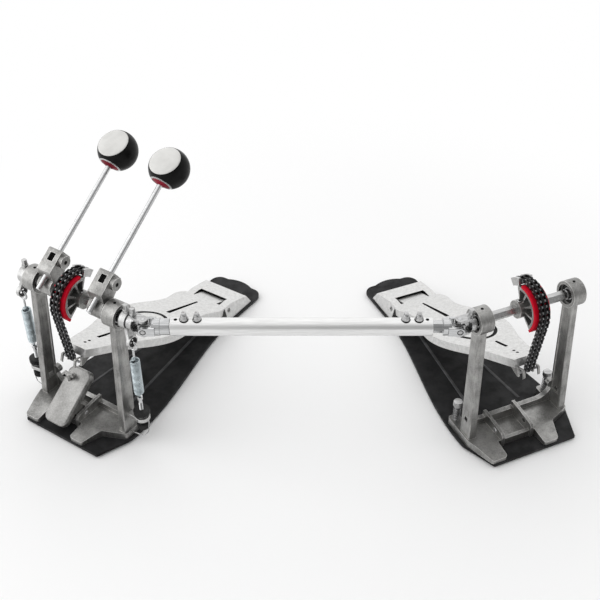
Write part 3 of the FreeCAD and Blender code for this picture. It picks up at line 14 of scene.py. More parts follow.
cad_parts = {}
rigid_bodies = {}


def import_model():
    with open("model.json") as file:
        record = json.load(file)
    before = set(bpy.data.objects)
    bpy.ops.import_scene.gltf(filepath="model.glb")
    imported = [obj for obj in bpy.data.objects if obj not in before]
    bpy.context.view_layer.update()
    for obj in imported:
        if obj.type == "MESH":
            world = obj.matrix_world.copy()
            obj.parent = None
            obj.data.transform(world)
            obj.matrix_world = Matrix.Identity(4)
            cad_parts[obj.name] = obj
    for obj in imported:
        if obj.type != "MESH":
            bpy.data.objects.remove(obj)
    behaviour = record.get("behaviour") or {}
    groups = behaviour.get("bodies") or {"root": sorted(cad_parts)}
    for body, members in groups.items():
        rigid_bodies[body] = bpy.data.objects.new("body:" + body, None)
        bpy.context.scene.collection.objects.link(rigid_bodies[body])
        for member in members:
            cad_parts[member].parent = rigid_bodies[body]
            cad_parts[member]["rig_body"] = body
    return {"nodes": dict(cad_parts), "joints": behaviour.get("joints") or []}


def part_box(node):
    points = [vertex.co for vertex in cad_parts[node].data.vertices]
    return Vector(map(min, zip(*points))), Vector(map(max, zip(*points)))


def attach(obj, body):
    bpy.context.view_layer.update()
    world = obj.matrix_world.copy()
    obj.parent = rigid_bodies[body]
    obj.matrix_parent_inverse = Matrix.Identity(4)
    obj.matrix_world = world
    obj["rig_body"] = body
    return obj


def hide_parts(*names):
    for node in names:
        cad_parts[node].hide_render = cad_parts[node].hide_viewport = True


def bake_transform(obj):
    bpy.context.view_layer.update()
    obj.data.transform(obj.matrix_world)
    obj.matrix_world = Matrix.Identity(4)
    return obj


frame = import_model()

BMesh, Node, Piece, Tree = bmesh.types.BMesh, bpy.types.Node, bpy.types.Object, bpy.types.NodeTree
Pair = tuple[float, float]
Triple = tuple[float, float, float]
Profile = Sequence[Pair]
Wanted = dict[str, tuple[str, dict[Any, Any]]]

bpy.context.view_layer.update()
LOG = logging.getLogger("double_pedal")
MM = 0.001
MERGE, WIRE_MERGE, SOLID_MERGE = 1e-4, 1e-3, 2e-3
SMOOTH_ANGLE, FLAT_ANGLE = math.radians(35), math.radians(0.6)
SECTOR_STEP = 4.0
TONES = (0.36, 0.64)
BUMP = 0.6
ACROSS, UP = Vector((1, 0, 0)), Vector((0, 0, 1))
BOTH = (1, -1)


class Grain(Enum):
    """How a surface's fine texture runs."""

    CAST = "cast"
    DRAWN = "drawn"
    MOULDED = "moulded"


def add_nodes(tree: Tree, wanted: Wanted) -> dict[str, Node]:
    """Adds shader nodes and sets them.

    Args:
        tree: receives the nodes.
        wanted: kind and settings of each node by its short name. Settings in small letters are the node's own
            and the others are its inputs.

    Returns:
        The nodes by their short names.
    """
    nodes = {}
    for name, (kind, settings) in wanted.items():
        nodes[name] = node = tree.nodes.new(kind)
        for key, value in settings.items():
            if str(key).islower():
                setattr(node, key, value)
            else:
                node.inputs[key].default_value = value
    return nodes


def join(tree: Tree, nodes: dict[str, Node], links: str) -> None:
    """Links nodes.

    Args:
        tree: holds the nodes.
        nodes: the nodes by their short names.
        links: pairs such as node.output>node.input with commas between; a socket is a name or a number.
    """
    def pick(sockets: Any, label: str) -> bpy.types.NodeSocket:
        """A socket by its name or number."""
        return sockets[int(label) if label.isdigit() else label]

    for pair in links.split(","):
        (source, out), (target, into) = (end.strip().split(".") for end in pair.split(">"))
        tree.links.new(pick(nodes[source].outputs, out), pick(nodes[target].inputs, into))


def kept(tree: Tree, kind: str) -> Node:
    """The node of a kind that a tree already has."""
    return next(n for n in tree.nodes if n.bl_idname == kind)


def new_group(name: str, inputs: dict[str, float], outputs: Sequence[str], wanted: Wanted, links: str) -> Tree:
    """Makes a shader node group with float sockets.

    Args:
        name: the group's name.
        inputs: socket names and their defaults.
        outputs: names of the values put out.
        wanted: its nodes, between "start" and "end".
        links: its links.

    Returns:
        The group.
    """
    tree = bpy.data.node_groups.new(name, "ShaderNodeTree")
    for label, value in inputs.items():
        socket = tree.interface.new_socket(name=label, in_out="INPUT", socket_type="NodeSocketFloat")
        socket.default_value = value
    for label in outputs:
        tree.interface.new_socket(name=label, in_out="OUTPUT", socket_type="NodeSocketFloat")
    ends: Wanted = {"start": ("NodeGroupInput", {}), "end": ("NodeGroupOutput", {})}
    join(tree, add_nodes(tree, {**ends, **wanted}), links)
    return tree


def noise(detail: float, rough: float, **more: float) -> tuple[str, dict[str, float]]:
    """A noise texture with its detail set."""
    return "ShaderNodeTexNoise", {"Detail": detail, "Roughness": rough, **more}


def cast_group() -> Tree:
    """Cast skin: fine pits, soft blotches and faint upright lines left by grinding."""
    return new_group("cast_skin", {"Fine": 900.0, "Broad": 55.0, "Lines": 0.3}, ("Height", "Tone"), {
        "place": ("ShaderNodeTexCoord", {}),
        "pits": noise(3.0, 0.6),
        "blotch": noise(5.0, 0.6),
        "ground": noise(2.0, 0.5, Scale=500.0),
        "stretch": ("ShaderNodeVectorMath", {"operation": "MULTIPLY", 1: (1.0, 1.0, 0.06)}),
        "broad": ("ShaderNodeMix", {}),
        "tone": ("ShaderNodeMix", {"Factor": 0.3}),
    }, "place.Object>pits.Vector, start.Fine>pits.Scale, place.Object>blotch.Vector, start.Broad>blotch.Scale,"
       "place.Object>stretch.0, stretch.0>ground.Vector, start.Lines>broad.Factor, blotch.Fac>broad.A,"
       "ground.Fac>broad.B, broad.Result>tone.A, pits.Fac>tone.B, pits.Fac>end.Height, tone.Result>end.Tone")


def drawn_group() -> Tree:
    """Fine lines left by drawing, turning or polishing."""
    return new_group("drawn_lines", {"Fine": 260.0, "Stretch": 0.05}, ("Height", "Tone"), {
        "place": ("ShaderNodeTexCoord", {}),
        "split": ("ShaderNodeSeparateXYZ", {}),
        "pull": ("ShaderNodeMath", {"operation": "MULTIPLY"}),
        "whole": ("ShaderNodeCombineXYZ", {}),
        "lines": noise(2.0, 0.5),
    }, "place.Object>split.0, split.X>pull.0, start.Stretch>pull.1, pull.0>whole.X, split.Y>whole.Y,"
       "split.Z>whole.Z, whole.0>lines.Vector, start.Fine>lines.Scale, lines.Fac>end.Height, lines.Fac>end.Tone")


def moulded_group() -> Tree:
    """Leathery moulded skin of plastic and rubber."""
    return new_group("moulded_skin", {"Fine": 1400.0, "Broad": 30.0}, ("Height", "Tone"), {
        "place": ("ShaderNodeTexCoord", {}),
        "cells": ("ShaderNodeTexVoronoi", {}),
        "dust": noise(3.0, 0.6),
    }, "place.Object>cells.Vector, start.Fine>cells.Scale, place.Object>dust.Vector, start.Broad>dust.Scale,"
       "cells.Distance>end.Height, dust.Fac>end.Tone")


def edge_group() -> Tree:
    """Painted highlights along edges: a mask of how far a rounded normal turns away from the face's own."""
    return new_group("painted_edge_highlights", {"Radius": 0.001}, ("Edge",), {
        "soft": ("ShaderNodeBevel", {"samples": 6}),
        "face": ("ShaderNodeNewGeometry", {}),
        "turn": ("ShaderNodeVectorMath", {"operation": "DOT_PRODUCT"}),
        "worn": ("ShaderNodeMapRange", {"From Min": 0.985, "From Max": 0.86}),
    }, "start.Radius>soft.Radius, soft.Normal>turn.0, face.Normal>turn.1, turn.Value>worn.Value,"
       "worn.Result>end.Edge")


# Mask that lays a painted highlight along rounded edges.
EDGE_HIGHLIGHT_GROUP = edge_group()
GROUPS = {Grain.CAST: cast_group(), Grain.DRAWN: drawn_group(), Grain.MOULDED: moulded_group()}


@dataclass(frozen=True)
class Finish:
    """A surface finish that becomes one material.

    Attributes:
        name: plain name of the finish.
        slot: the record's material slot. Not used.
        dark: colour in the hollows of the tone.
        light: colour on the crests of the tone.
        metallic: how metallic the surface is.
        smooth: lowest roughness.
        rough: highest roughness.
        grain: how the fine texture runs.
        depth: height of the fine texture, in metres.
        fine: scale of the fine texture.
        broad: scale of the blotches, where the grain has them.
        sheen: specular level of a surface that isn't metal.
        worn: colour of the painted highlight along edges, where it has them.
        wear: how far the painted highlight reaches from an edge, in metres.
    """

    name: str
    slot: str
    dark: Triple
    light: Triple
    metallic: float
    smooth: float
    rough: float
    grain: Grain = Grain.CAST
    depth: float = 0.00006
    fine: float = 900.0
    broad: float = 55.0
    sheen: float = 0.5
    # Colour and reach of a painted highlight along rounded edges.
    worn: Optional[Triple] = None
    wear: float = 0.0011

    def material(self) -> bpy.types.Material:
        """The finish as a material, made once."""
        return bpy.data.materials.get(self.name) or self._build()

    def _build(self) -> bpy.types.Material:
        """Makes the finish's nodes.

        Returns:
            The new material.
        """
        made = bpy.data.materials.new(self.name)
        made.use_nodes = True
        tree = made.node_tree
        wanted: Wanted = {
            "skin": ("ShaderNodeGroup", {"node_tree": GROUPS[self.grain], "Fine": self.fine}),
            "colour": ("ShaderNodeValToRGB", {}),
            "gloss": ("ShaderNodeMapRange", {"From Min": TONES[0], "From Max": TONES[1], "To Min": self.rough,
                                             "To Max": self.smooth}),
            "bump": ("ShaderNodeBump", {"Strength": BUMP, "Distance": self.depth}),
        }
        base = "colour.Color>shader.Base Color"
        # Rounded edges get the painted highlight colour through the edge mask.
        if self.worn:
            wanted["edges"] = ("ShaderNodeGroup", {"node_tree": EDGE_HIGHLIGHT_GROUP, "Radius": self.wear})
            wanted["mix"] = ("ShaderNodeMix", {"data_type": "RGBA", "B": (*self.worn, 1)})
            base = "edges.Edge>mix.Factor, colour.Color>mix.A, mix.Result>shader.Base Color"
        nodes = add_nodes(tree, wanted)
        nodes["shader"] = shader = kept(tree, "ShaderNodeBsdfPrincipled")
        if "Broad" in nodes["skin"].inputs:
            nodes["skin"].inputs["Broad"].default_value = self.broad
        for stop, at, colour in zip(nodes["colour"].color_ramp.elements, TONES, (self.dark, self.light)):
            stop.position, stop.color = at, (*colour, 1)
        shader.inputs["Metallic"].default_value = self.metallic
        shader.inputs["Specular IOR Level"].default_value = self.sheen
        join(tree, nodes, "skin.Tone>colour.Fac, skin.Tone>gloss.Value, skin.Height>bump.Height,"
             "gloss.Result>shader.Roughness, bump.Normal>shader.Normal," + base)
        return made


# The cast finish carries a bright painted highlight on its rounded edges.
CAST = Finish("cast_alloy", "cast_aluminium", (0.165, 0.163, 0.158), (0.45, 0.446, 0.434), 0.9, 0.28, 0.45,
              depth=0.00009, fine=1100.0, worn=(0.78, 0.775, 0.76))
# A lighter copy of the cast finish: painted light for the lit top face of the hoop clamp plate.
CAST_LIGHT = Finish("painted_lit_cast_alloy", "cast_aluminium", (0.20, 0.198, 0.192), (0.37, 0.366, 0.357), 0.85,
                    0.32, 0.46, broad=35.0, worn=(0.76, 0.755, 0.74))
# Lighter colour for the bevel faces of castings: a painted highlight along their edges.
CAST_EDGE = Finish("painted_highlight_cast_edge", "cast_aluminium", (0.54, 0.535, 0.525), (0.74, 0.735, 0.725), 0.9, 0.24, 0.38)
ALLOY = Finish("machined_alloy", "cast_aluminium", (0.42, 0.42, 0.415), (0.62, 0.62, 0.615), 0.9, 0.24, 0.40,
               depth=0.00004, broad=120.0)
POLISHED = Finish("tumbled_alloy", "polished_alloy", (0.54, 0.538, 0.53), (0.72, 0.718, 0.71), 0.9, 0.28, 0.44,
                  fine=700.0, broad=240.0)
BLACK_PLATE = Finish("black_floor_plate", "black_plate", (0.009, 0.009, 0.0095), (0.020, 0.020, 0.021), 0.0,
                     0.5, 0.68, Grain.MOULDED, 0.00008, sheen=0.22)
PLATE_RIB = Finish("lighter_plate_rib", "black_plate", (0.045, 0.045, 0.047), (0.085, 0.085, 0.088), 0.0, 0.45, 0.6,
                   Grain.MOULDED, 0.00005, sheen=0.3)
RUBBER = Finish("grip_rubber", "rubber", (0.009, 0.009, 0.009), (0.022, 0.022, 0.022), 0.0, 0.65, 0.85,
                Grain.MOULDED, sheen=0.2)
BRIGHT = Finish("chromed_steel", "bright_steel", (0.46, 0.465, 0.47), (0.64, 0.645, 0.65), 1.0, 0.08, 0.18,
                Grain.DRAWN, 0.00001)
ROD = Finish("satin_rod", "bright_steel", (0.62, 0.625, 0.63), (0.76, 0.765, 0.77), 1.0, 0.2, 0.3, Grain.DRAWN,
             0.00001)
STEEL = Finish("turned_steel", "steel", (0.36, 0.36, 0.36), (0.56, 0.56, 0.56), 1.0, 0.2, 0.36, Grain.DRAWN,
               0.00002)
# Dark steel for chain rollers and pins, and painted shade on the spur springs and the drive bars' edges.
ROLLER = Finish("dark_steel_and_painted_shade", "steel", (0.16, 0.16, 0.164), (0.38, 0.38, 0.385), 0.9, 0.22, 0.4, Grain.DRAWN,
                0.00001)
ZINC = Finish("zinc_spring", "bright_steel", (0.36, 0.41, 0.43), (0.56, 0.62, 0.645), 0.95, 0.25, 0.4,
              depth=0.00002)
CHAIN = Finish("black_oxide", "chain_black", (0.006, 0.006, 0.0065), (0.020, 0.020, 0.021), 0.4, 0.3, 0.5,
               sheen=0.35)
RED = Finish("crimson_plastic", "red_cushion", (0.44, 0.001, 0.012), (0.58, 0.003, 0.021), 0.0, 0.4, 0.55,
             Grain.MOULDED, 0.00003, sheen=0.12)
# A darker red for the cap under the ball: painted shade for the shadow it sits in.
CAP_RED = Finish("painted_shade_red_cap", "red_cushion", (0.15, 0.003, 0.012), (0.25, 0.006, 0.022), 0.0, 0.45, 0.6,
                 Grain.MOULDED, 0.00003, sheen=0.15)
BALL_BLACK = Finish("black_ball", "beater_black", (0.002, 0.002, 0.002), (0.007, 0.007, 0.007), 0.0, 0.3, 0.45,
                    Grain.MOULDED, 0.00004, sheen=0.12)
BALL_WHITE = Finish("white_ball_face", "beater_white", (0.66, 0.655, 0.635), (0.74, 0.735, 0.715), 0.0, 0.45,
                    0.6, Grain.MOULDED, 0.00002, sheen=0.3)
TUBE = Finish("satin_tube", "tube_silver", (0.72, 0.72, 0.715), (0.82, 0.82, 0.815), 0.95, 0.28, 0.36,
              Grain.DRAWN, 0.00001)
KNOB = Finish("black_grip", "black_knob", (0.008, 0.008, 0.008), (0.02, 0.02, 0.02), 0.0, 0.45, 0.6,
              Grain.MOULDED, sheen=0.3)
# Near black for black parts, and as painted shade in slots, holes, a notch and vents.
DARK = Finish("black_and_painted_shade", "chain_black", (0.004, 0.004, 0.004), (0.010, 0.010, 0.010), 0.0, 0.6, 0.8, sheen=0.1)


def facing(direction: Vector, at: Vector) -> Matrix:
    """A place at a point whose z runs along a direction."""
    return Matrix.Translation(at) @ direction.to_track_quat("Z", "Y").to_matrix().to_4x4()


def spoke(turns: float) -> Vector:
    """The level direction after some turns round z."""
    angle = 2 * math.pi * turns
    return Vector((math.cos(angle), math.sin(angle), 0))


def offset(radius: float, height: float, steps: Profile) -> list[Pair]:
    """Profile points set out from a radius and a height."""
    return [(radius + out, height + up) for out, up in steps]


def mirrored(upper: Profile) -> list[Pair]:
    """A profile closed by its mirror image below."""
    lower = [(radius, -height) for radius, height in reversed(upper)]
    return [*lower, *upper, lower[0]]


def rounded(points: Sequence[Vector], radius: float, steps: int = 5) -> list[Vector]:
    """Bends a wire's route at its corners.

    Args:
        points: corners of the route.
        radius: how far from each corner the bend starts.
        steps: points in each bend.

    Returns:
        The route with round bends.
    """
    route = [points[0]]
    for before, corner, after in zip(points, points[1:], points[2:]):
        start = corner + (before - corner).normalized() * radius
        end = corner + (after - corner).normalized() * radius
        for k in range(steps + 1):
            t = k / steps
            route.append(start * (1 - t) ** 2 + corner * (2 * t * (1 - t)) + end * t ** 2)
    return [*route, points[-1]]


def bevel(form: BMesh, edges: Sequence[bmesh.types.BMEdge], width: float) -> None:
    """Rounds some edges of a form."""
    bmesh.ops.bevel(form, geom=edges, offset=width, offset_type="OFFSET", affect="EDGES", segments=2, profile=0.5,
                    material=-1)


def thicken(form: BMesh, height: float) -> None:
    """Raises a flat form along z."""
    raised = bmesh.ops.extrude_face_region(form, geom=form.faces[:])["geom"]
    bmesh.ops.translate(form, vec=(0, 0, height), verts=[g for g in raised if isinstance(g, bmesh.types.BMVert)])


def close(form: BMesh) -> None:
    """Fills the open ends of a form."""
    bmesh.ops.holes_fill(form, edges=[e for e in form.edges if e.is_boundary], sides=0)


def move(form: BMesh, place: Matrix) -> None:
    """Moves a form to a place and turns its faces outward."""
    bmesh.ops.transform(form, matrix=place, verts=form.verts[:])
    bmesh.ops.recalc_face_normals(form, faces=form.faces[:])


def baked(form: BMesh, name: str) -> bpy.types.Mesh:
    """A form as a mesh. The form is freed."""
    mesh = bpy.data.meshes.new(name)
    form.to_mesh(mesh)
    form.free()
    return mesh


def put(name: str, data: bpy.types.ID) -> Piece:
    """An object in the scene, at the origin."""
    placed = bpy.data.objects.new(name, data)
    bpy.context.scene.collection.objects.link(placed)
    return placed


class Shape:
    """A form built up from parts, in the millimetres of its own frame."""

    def __init__(self) -> None:
        """Starts with nothing."""
        self.mesh = bmesh.new()

    def add(self, part: BMesh, place: Matrix) -> None:
        """Adds a part at a place, and frees the part."""
        move(part, place)
        mesh = baked(part, "part")
        self.mesh.from_mesh(mesh)
        bpy.data.meshes.remove(mesh)

    def lathe(self, profile: Profile, place: Matrix, steps: int) -> None:
        """Turns a profile of (radius, height) round z.

        Args:
            profile: points from one end to the other; an end at radius 0 closes there.
            place: from the turned form's frame to the shape's.
            steps: sides of the form.
        """
        turned = bmesh.new()
        verts = [turned.verts.new((radius, 0, height)) for radius, height in profile]
        edges = [turned.edges.new(pair) for pair in zip(verts, verts[1:])]
        bmesh.ops.spin(turned, geom=verts + edges, cent=(0, 0, 0), axis=(0, 0, 1), angle=2 * math.pi, steps=steps,
                       use_merge=True)
        bmesh.ops.remove_doubles(turned, verts=turned.verts[:], dist=MERGE)
        self.add(turned, place)

    def block(self, size: Sequence[float], place: Matrix, edge: float = 0.0) -> None:
        """Adds a block round a place, with bevelled edges."""
        cube = bmesh.new()
        bmesh.ops.create_cube(cube, size=1.0, matrix=Matrix.Diagonal((*size, 1)))
        if edge:
            bevel(cube, cube.edges[:], edge)
        self.add(cube, place)

    def rod(self, radius: float, length: float, place: Matrix, sides: int, edge: float = 0.0) -> None:
        """Adds a round bar from a place along its z.

        Args:
            radius: its radius.
            length: its length.
            place: its start.
            sides: number of its sides.
            edge: chamfer at both ends.
        """
        wall = [(radius, 0), (radius, length)]
        if edge:
            wall = [(radius - edge, 0), (radius, edge), (radius, length - edge), (radius - edge, length)]
        self.lathe([(0, 0), *wall, (0, length)], place, sides)

    def sector(self, span: Pair, angles: Pair, sides: Pair, place: Matrix) -> None:
        """Adds a block bent round the x axis, from the drum side downwards.

        Args:
            span: inner and outer radius.
            angles: start and end in degrees.
            sides: its faces across the axis.
            place: from the axis's frame to the shape's.
        """
        bent = bmesh.new()
        (inner, outer), (left, right) = span, sides
        corners = ((left, inner), (right, inner), (right, outer), (left, outer))
        verts = [bent.verts.new((x, -radius, 0)) for x, radius in corners]
        edges = [bent.edges.new(pair) for pair in zip(verts, verts[1:] + verts[:1])]
        bmesh.ops.rotate(bent, verts=verts, cent=(0, 0, 0), matrix=Matrix.Rotation(math.radians(angles[0]), 3, "X"))
        sweep = angles[1] - angles[0]
        bmesh.ops.spin(bent, geom=verts + edges, cent=(0, 0, 0), axis=ACROSS, angle=math.radians(sweep),
                       steps=max(2, round(sweep / SECTOR_STEP)), use_merge=False)
        close(bent)
        self.add(bent, place)

    def prism(self, sides: int, radius: float, height: float, place: Matrix, edge: float = 0.0) -> None:
        """Adds an upright prism.

        Args:
            sides: number of its corners.
            radius: to its corners.
            height: along the place's z.
            place: middle of its foot.
            edge: bevel of the rims.
        """
        body = bmesh.new()
        bmesh.ops.create_circle(body, cap_ends=True, segments=sides, radius=radius)
        thicken(body, height)
        bmesh.ops.recalc_face_normals(body, faces=body.faces[:])
        if edge:
            bevel(body, [e for e in body.edges if abs(e.verts[0].co.z - e.verts[1].co.z) < MERGE], edge)
        self.add(body, place)

    def ribs(self, count: int, ring: float, rib: Triple, foot: Vector, sides: int) -> None:
        """Stands round ribs in a ring.

        Args:
            count: how many there are.
            ring: radius of the ring through their middles.
            rib: radius, height and chamfer of each.
            foot: middle of the ring.
            sides: number of a rib's sides.
        """
        radius, height, edge = rib
        for k in range(count):
            self.rod(radius, height, Matrix.Translation(foot + spoke(k / count) * ring), sides, edge)

    def wire(self, points: Sequence[Vector], radius: float, fine: int = 3) -> None:
        """Adds a round wire.

        Args:
            points: middle of the wire.
            radius: of the wire.
            fine: fineness of its round section.
        """
        line = bpy.data.curves.new("wire", "CURVE")
        line.dimensions = "3D"
        line.bevel_depth = radius
        line.bevel_resolution = fine
        line.use_fill_caps = True
        spline = line.splines.new("POLY")
        spline.points.add(len(points) - 1)
        for place, point in zip(spline.points, points):
            place.co = (*point, 1)
        holder = bpy.data.objects.new("wire", line)
        mesh = bpy.data.meshes.new_from_object(holder)
        drawn = bmesh.new()
        drawn.from_mesh(mesh)
        bmesh.ops.remove_doubles(drawn, verts=drawn.verts[:], dist=WIRE_MERGE)
        self.add(drawn, Matrix.Identity(4))
        bpy.data.objects.remove(holder)
        bpy.data.curves.remove(line)
        bpy.data.meshes.remove(mesh)


def settle(form: BMesh, name: str, look: Finish) -> Piece:
    """Makes a mesh object with smooth faces and sharp corners.

    Args:
        form: the form, already in place. It is freed.
        name: the object's name.
        look: its finish.

    Returns:
        The object, in the scene.
    """
    for face in form.faces:
        face.smooth = True
    for edge in form.edges:
        edge.smooth = len(edge.link_faces) == 2 and edge.calc_face_angle(0) < SMOOTH_ANGLE
    mesh = baked(form, name)
    piece = put(name, mesh)
    mesh.materials.append(look.material())
    LOG.info("%s: %d faces", name, len(mesh.polygons))
    return piece


def finish_piece(shape: Shape, name: str, look: Finish, body: str, place: Matrix, *nodes: str) -> Piece:
    """Turns a shape into a finished piece of the pedal.

    Args:
        shape: the shape, in the millimetres of its own frame.
        name: the piece's name.
        look: its finish.
        body: the body it moves with.
        place: from the shape's frame to the part's.
        nodes: solids that the piece stands for.

    Returns:
        The piece, riding its body.
    """
    form = shape.mesh
    bmesh.ops.transform(form, matrix=place, verts=form.verts[:])
    bmesh.ops.remove_doubles(form, verts=form.verts[:], dist=MERGE * MM)
    bmesh.ops.recalc_face_normals(form, faces=form.faces[:])
    piece = settle(form, name, look)
    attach(piece, body)
    if nodes:
        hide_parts(*nodes)
    return piece


def dress_node(node: str, look: Finish, edge: float, rim: Optional[Finish] = None) -> Piece:
    """Gives a solid rounded edges and a finish, in a copy that stands for it.

    Args:
        node: the solid's name.
        look: its finish.
        edge: radius of its edges in millimetres, or 0 to leave them sharp.
        rim: finish of the rounded edges, where it differs.

    Returns:
        The dressed copy.
    """
    source = frame["nodes"][node]
    form = bmesh.new()
    form.from_mesh(source.data)
    bmesh.ops.remove_doubles(form, verts=form.verts[:], dist=SOLID_MERGE * MM)
    bmesh.ops.dissolve_limit(form, angle_limit=FLAT_ANGLE, verts=form.verts[:], edges=form.edges[:])
    piece = settle(form, node + "_dressed", look)
    if edge:
        rounding = piece.modifiers.new("edges", "BEVEL")
        rounding.width = edge * MM
        rounding.segments = 2
        rounding.limit_method = "ANGLE"
        rounding.angle_limit = SMOOTH_ANGLE
        rounding.use_clamp_overlap = True
        rounding.harden_normals = True
        # The rim finish paints the bevel faces: a highlight on castings, shade on the drive bars.
        if rim:
            piece.data.materials.append(rim.material())
            rounding.material = 1
    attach(piece, source["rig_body"])
    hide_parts(node)
    return piece


def repaint(piece: Piece, look: Finish, chosen: Callable[[bpy.types.MeshPolygon], bool]) -> None:
    """Gives the chosen faces of a piece another finish."""
    piece.data.materials.append(look.material())
    for face in piece.data.polygons:
        if chosen(face):
            face.material_index = len(piece.data.materials) - 1


@dataclass
class Station:
    """Where one pedal stands: x across it, y from the drum to the heel, z up, in millimetres.

    Attributes:
        name: first word of its nodes and bodies.
        shaft_height: shaft axis above the floor.
        half_span: bearing housing's middle from the pedal's middle.
    """

    name: str
    shaft_height: float = 175.0
    half_span: float = 60.0

    @property
    def matrix(self) -> Matrix:
        """From the pedal's millimetres to the part's frame."""
        joint = next(j for j in frame["joints"] if j["name"] == self.name + "_shaft_turn")
        across = Vector(joint["axis"])
        turn = Matrix((across, UP.cross(across), UP)).transposed().to_4x4()
        foot = Vector(joint["pos_m"]) - UP * self.shaft_height * MM
        return Matrix.Translation(foot) @ turn @ Matrix.Scale(MM, 4)

    @property
    def axis(self) -> Vector:
        """Middle of the shaft."""
        return Vector((0, 0, self.shaft_height))

    def housing(self, sign: int) -> Vector:
        """Middle of a bearing housing."""
        return self.axis + ACROSS * sign * self.half_span

    def make(self, shape: Shape, name: str, look: Finish, body: str, *nodes: str) -> Piece:
        """Finishes a shape drawn in the pedal's frame."""
        return finish_piece(shape, name, look, body, self.matrix, *nodes)

    def own(self, shape: Shape, label: str, look: Finish, body: str, *nodes: str) -> Piece:
        """Finishes a shape, with the pedal's name put before the label, the body and the solids."""
        name, *rest = (f"{self.name}_{word}" for word in (label, body, *nodes))
        return self.make(shape, name, look, *rest)

    def coil(self, points: Sequence[Vector], wire: tuple[float, int], name: str, look: Finish,
             bodies: tuple[str, str], ends: tuple[Vector, Vector]) -> Piece:
        """Winds a spring between two bodies, baked in place without riding either.

        Args:
            points: middle of its wire.
            wire: radius and fineness of the wire.
            name: the spring's name.
            look: its finish.
            bodies: those at its two ends. Not used.
            ends: where it meets them. Not used.

        Returns:
            The spring.
        """
        shape = Shape()
        shape.wire(points, *wire)
        move(shape.mesh, self.matrix)
        piece = settle(shape.mesh, name, look)
        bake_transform(piece)
        return piece


@dataclass
class CastFrame:
    """Floor plate, pedestal casting, bearings and heel plate of one pedal."""

    station: Station
    bores: Pair
    pins: str
    housing_radius: float = 15.5
    bearing: float = 12.0
    bearing_half: float = 4.5
    race: float = 0.9
    bore_play: float = 0.1
    seal_play: float = 0.05
    seal_lip: Pair = (0.6, 0.35)
    plate_top: float = 5.5
    rib_least: float = 0.05
    tooth: Triple = (1.0, 2.2, 2.6)
    front: Pair = (56.0, -60.0)
    flare: Pair = (73.0, -18.0)
    fins: Pair = (-34.0, 10.0)
    pivot: Pair = (-24.0, 19.0)
    notch: Triple = (22.1, 221.5, 241.1)
    set_screw: Profile = ((0, 0.05), (1.2, 0.05), (1.4, 0.25), (1.8, 0.2), (1.9, -0.4), (0, -0.4))
    pivot_head: Profile = ((0, 1.5), (0.9, 1.45), (2.4, 1.0), (3.1, 0), (0, 0))

    def dress(self) -> None:
        """Dresses the castings and adds bearings, bolts and the plate's teeth."""
        name = self.station.name
        dress_node(name + "_pedestal", CAST, edge=0.8, rim=CAST_EDGE)
        self.plate()
        dress_node(name + "_base_pads", RUBBER, edge=0.3)
        self.heel()
        dress_node(self.pins, STEEL, edge=0.3)
        self.bearings()
        self.bolts()
        self.teeth()

    def plate(self) -> None:
        """Blackens the floor plate and paints its two ribs a lighter black."""
        plate = dress_node(self.station.name + "_base_plate", BLACK_PLATE, edge=0.5)
        # Faces standing above the plate's top, the ribs, are painted a lighter black.
        repaint(plate, PLATE_RIB, lambda face: face.center.z > (self.plate_top + self.rib_least) * MM)

    def heel(self) -> None:
        """Polishes the heel plate and darkens the notch that the footboard's tongue turns in, as painted shade."""
        plate = dress_node(self.station.name + "_heel_plate", POLISHED, edge=0.8)
        half, front, back = self.notch
        local = self.station.matrix.inverted()
        # The notch's faces are painted dark as shade.
        repaint(plate, DARK, lambda face: abs((local @ face.center).x) < half
                and front < (local @ face.center).y < back)

    def bearings(self) -> None:
        """Builds each bearing as two steel races with black seals, set back in its housing."""
        races, seals = Shape(), Shape()
        half, outer = self.bearing_half, self.bearing
        lip, back = self.seal_lip
        for sign, bore in zip((-1, 1), self.bores):
            place = facing(ACROSS, self.station.housing(sign))
            for inside, outside in ((bore + self.bore_play, bore + self.race), (outer - self.race, outer)):
                races.lathe(mirrored([(outside, half), (inside, half)]), place, steps=48)
            low, high = bore + self.race + self.seal_play, outer - self.race - self.seal_play
            seal = [(high, half - back), (low + lip, half - back), (low, half - 2 * back)]
            seals.lathe(mirrored(seal), place, steps=48)
        self.station.own(races, "bearing_races", STEEL, "frame", "bearings")
        self.station.own(seals, "bearing_seals", KNOB, "frame")

    def bolts(self) -> None:
        """Adds the housings' set screws and the clamp pivot's bolt heads."""
        screws, heads = Shape(), Shape()
        for sign, x in zip((-1, 1), self.fins):
            screws.lathe(self.set_screw, facing(UP, self.station.housing(sign) + UP * self.housing_radius), steps=24)
            heads.lathe(self.pivot_head, facing(ACROSS * sign, Vector((x, *self.pivot))), steps=24)
        self.station.own(screws, "set_screws", DARK, "frame")
        self.station.own(heads, "frame_bolts", STEEL, "frame")

    def teeth(self) -> None:
        """Cuts fine teeth along the slanted edges of the floor plate's nose."""
        shape = Shape()
        size, pitch, below = self.tooth
        for sign in (-1, 1):
            a, b = (Vector((sign * x, y, self.plate_top - below)) for x, y in (self.front, self.flare))
            count = round((b - a).length / pitch)
            for k in range(1, count):
                shape.prism(3, size, size, Matrix.Translation(a + (b - a) * (k / count)))
        self.station.own(shape, "plate_teeth", RUBBER, "frame")


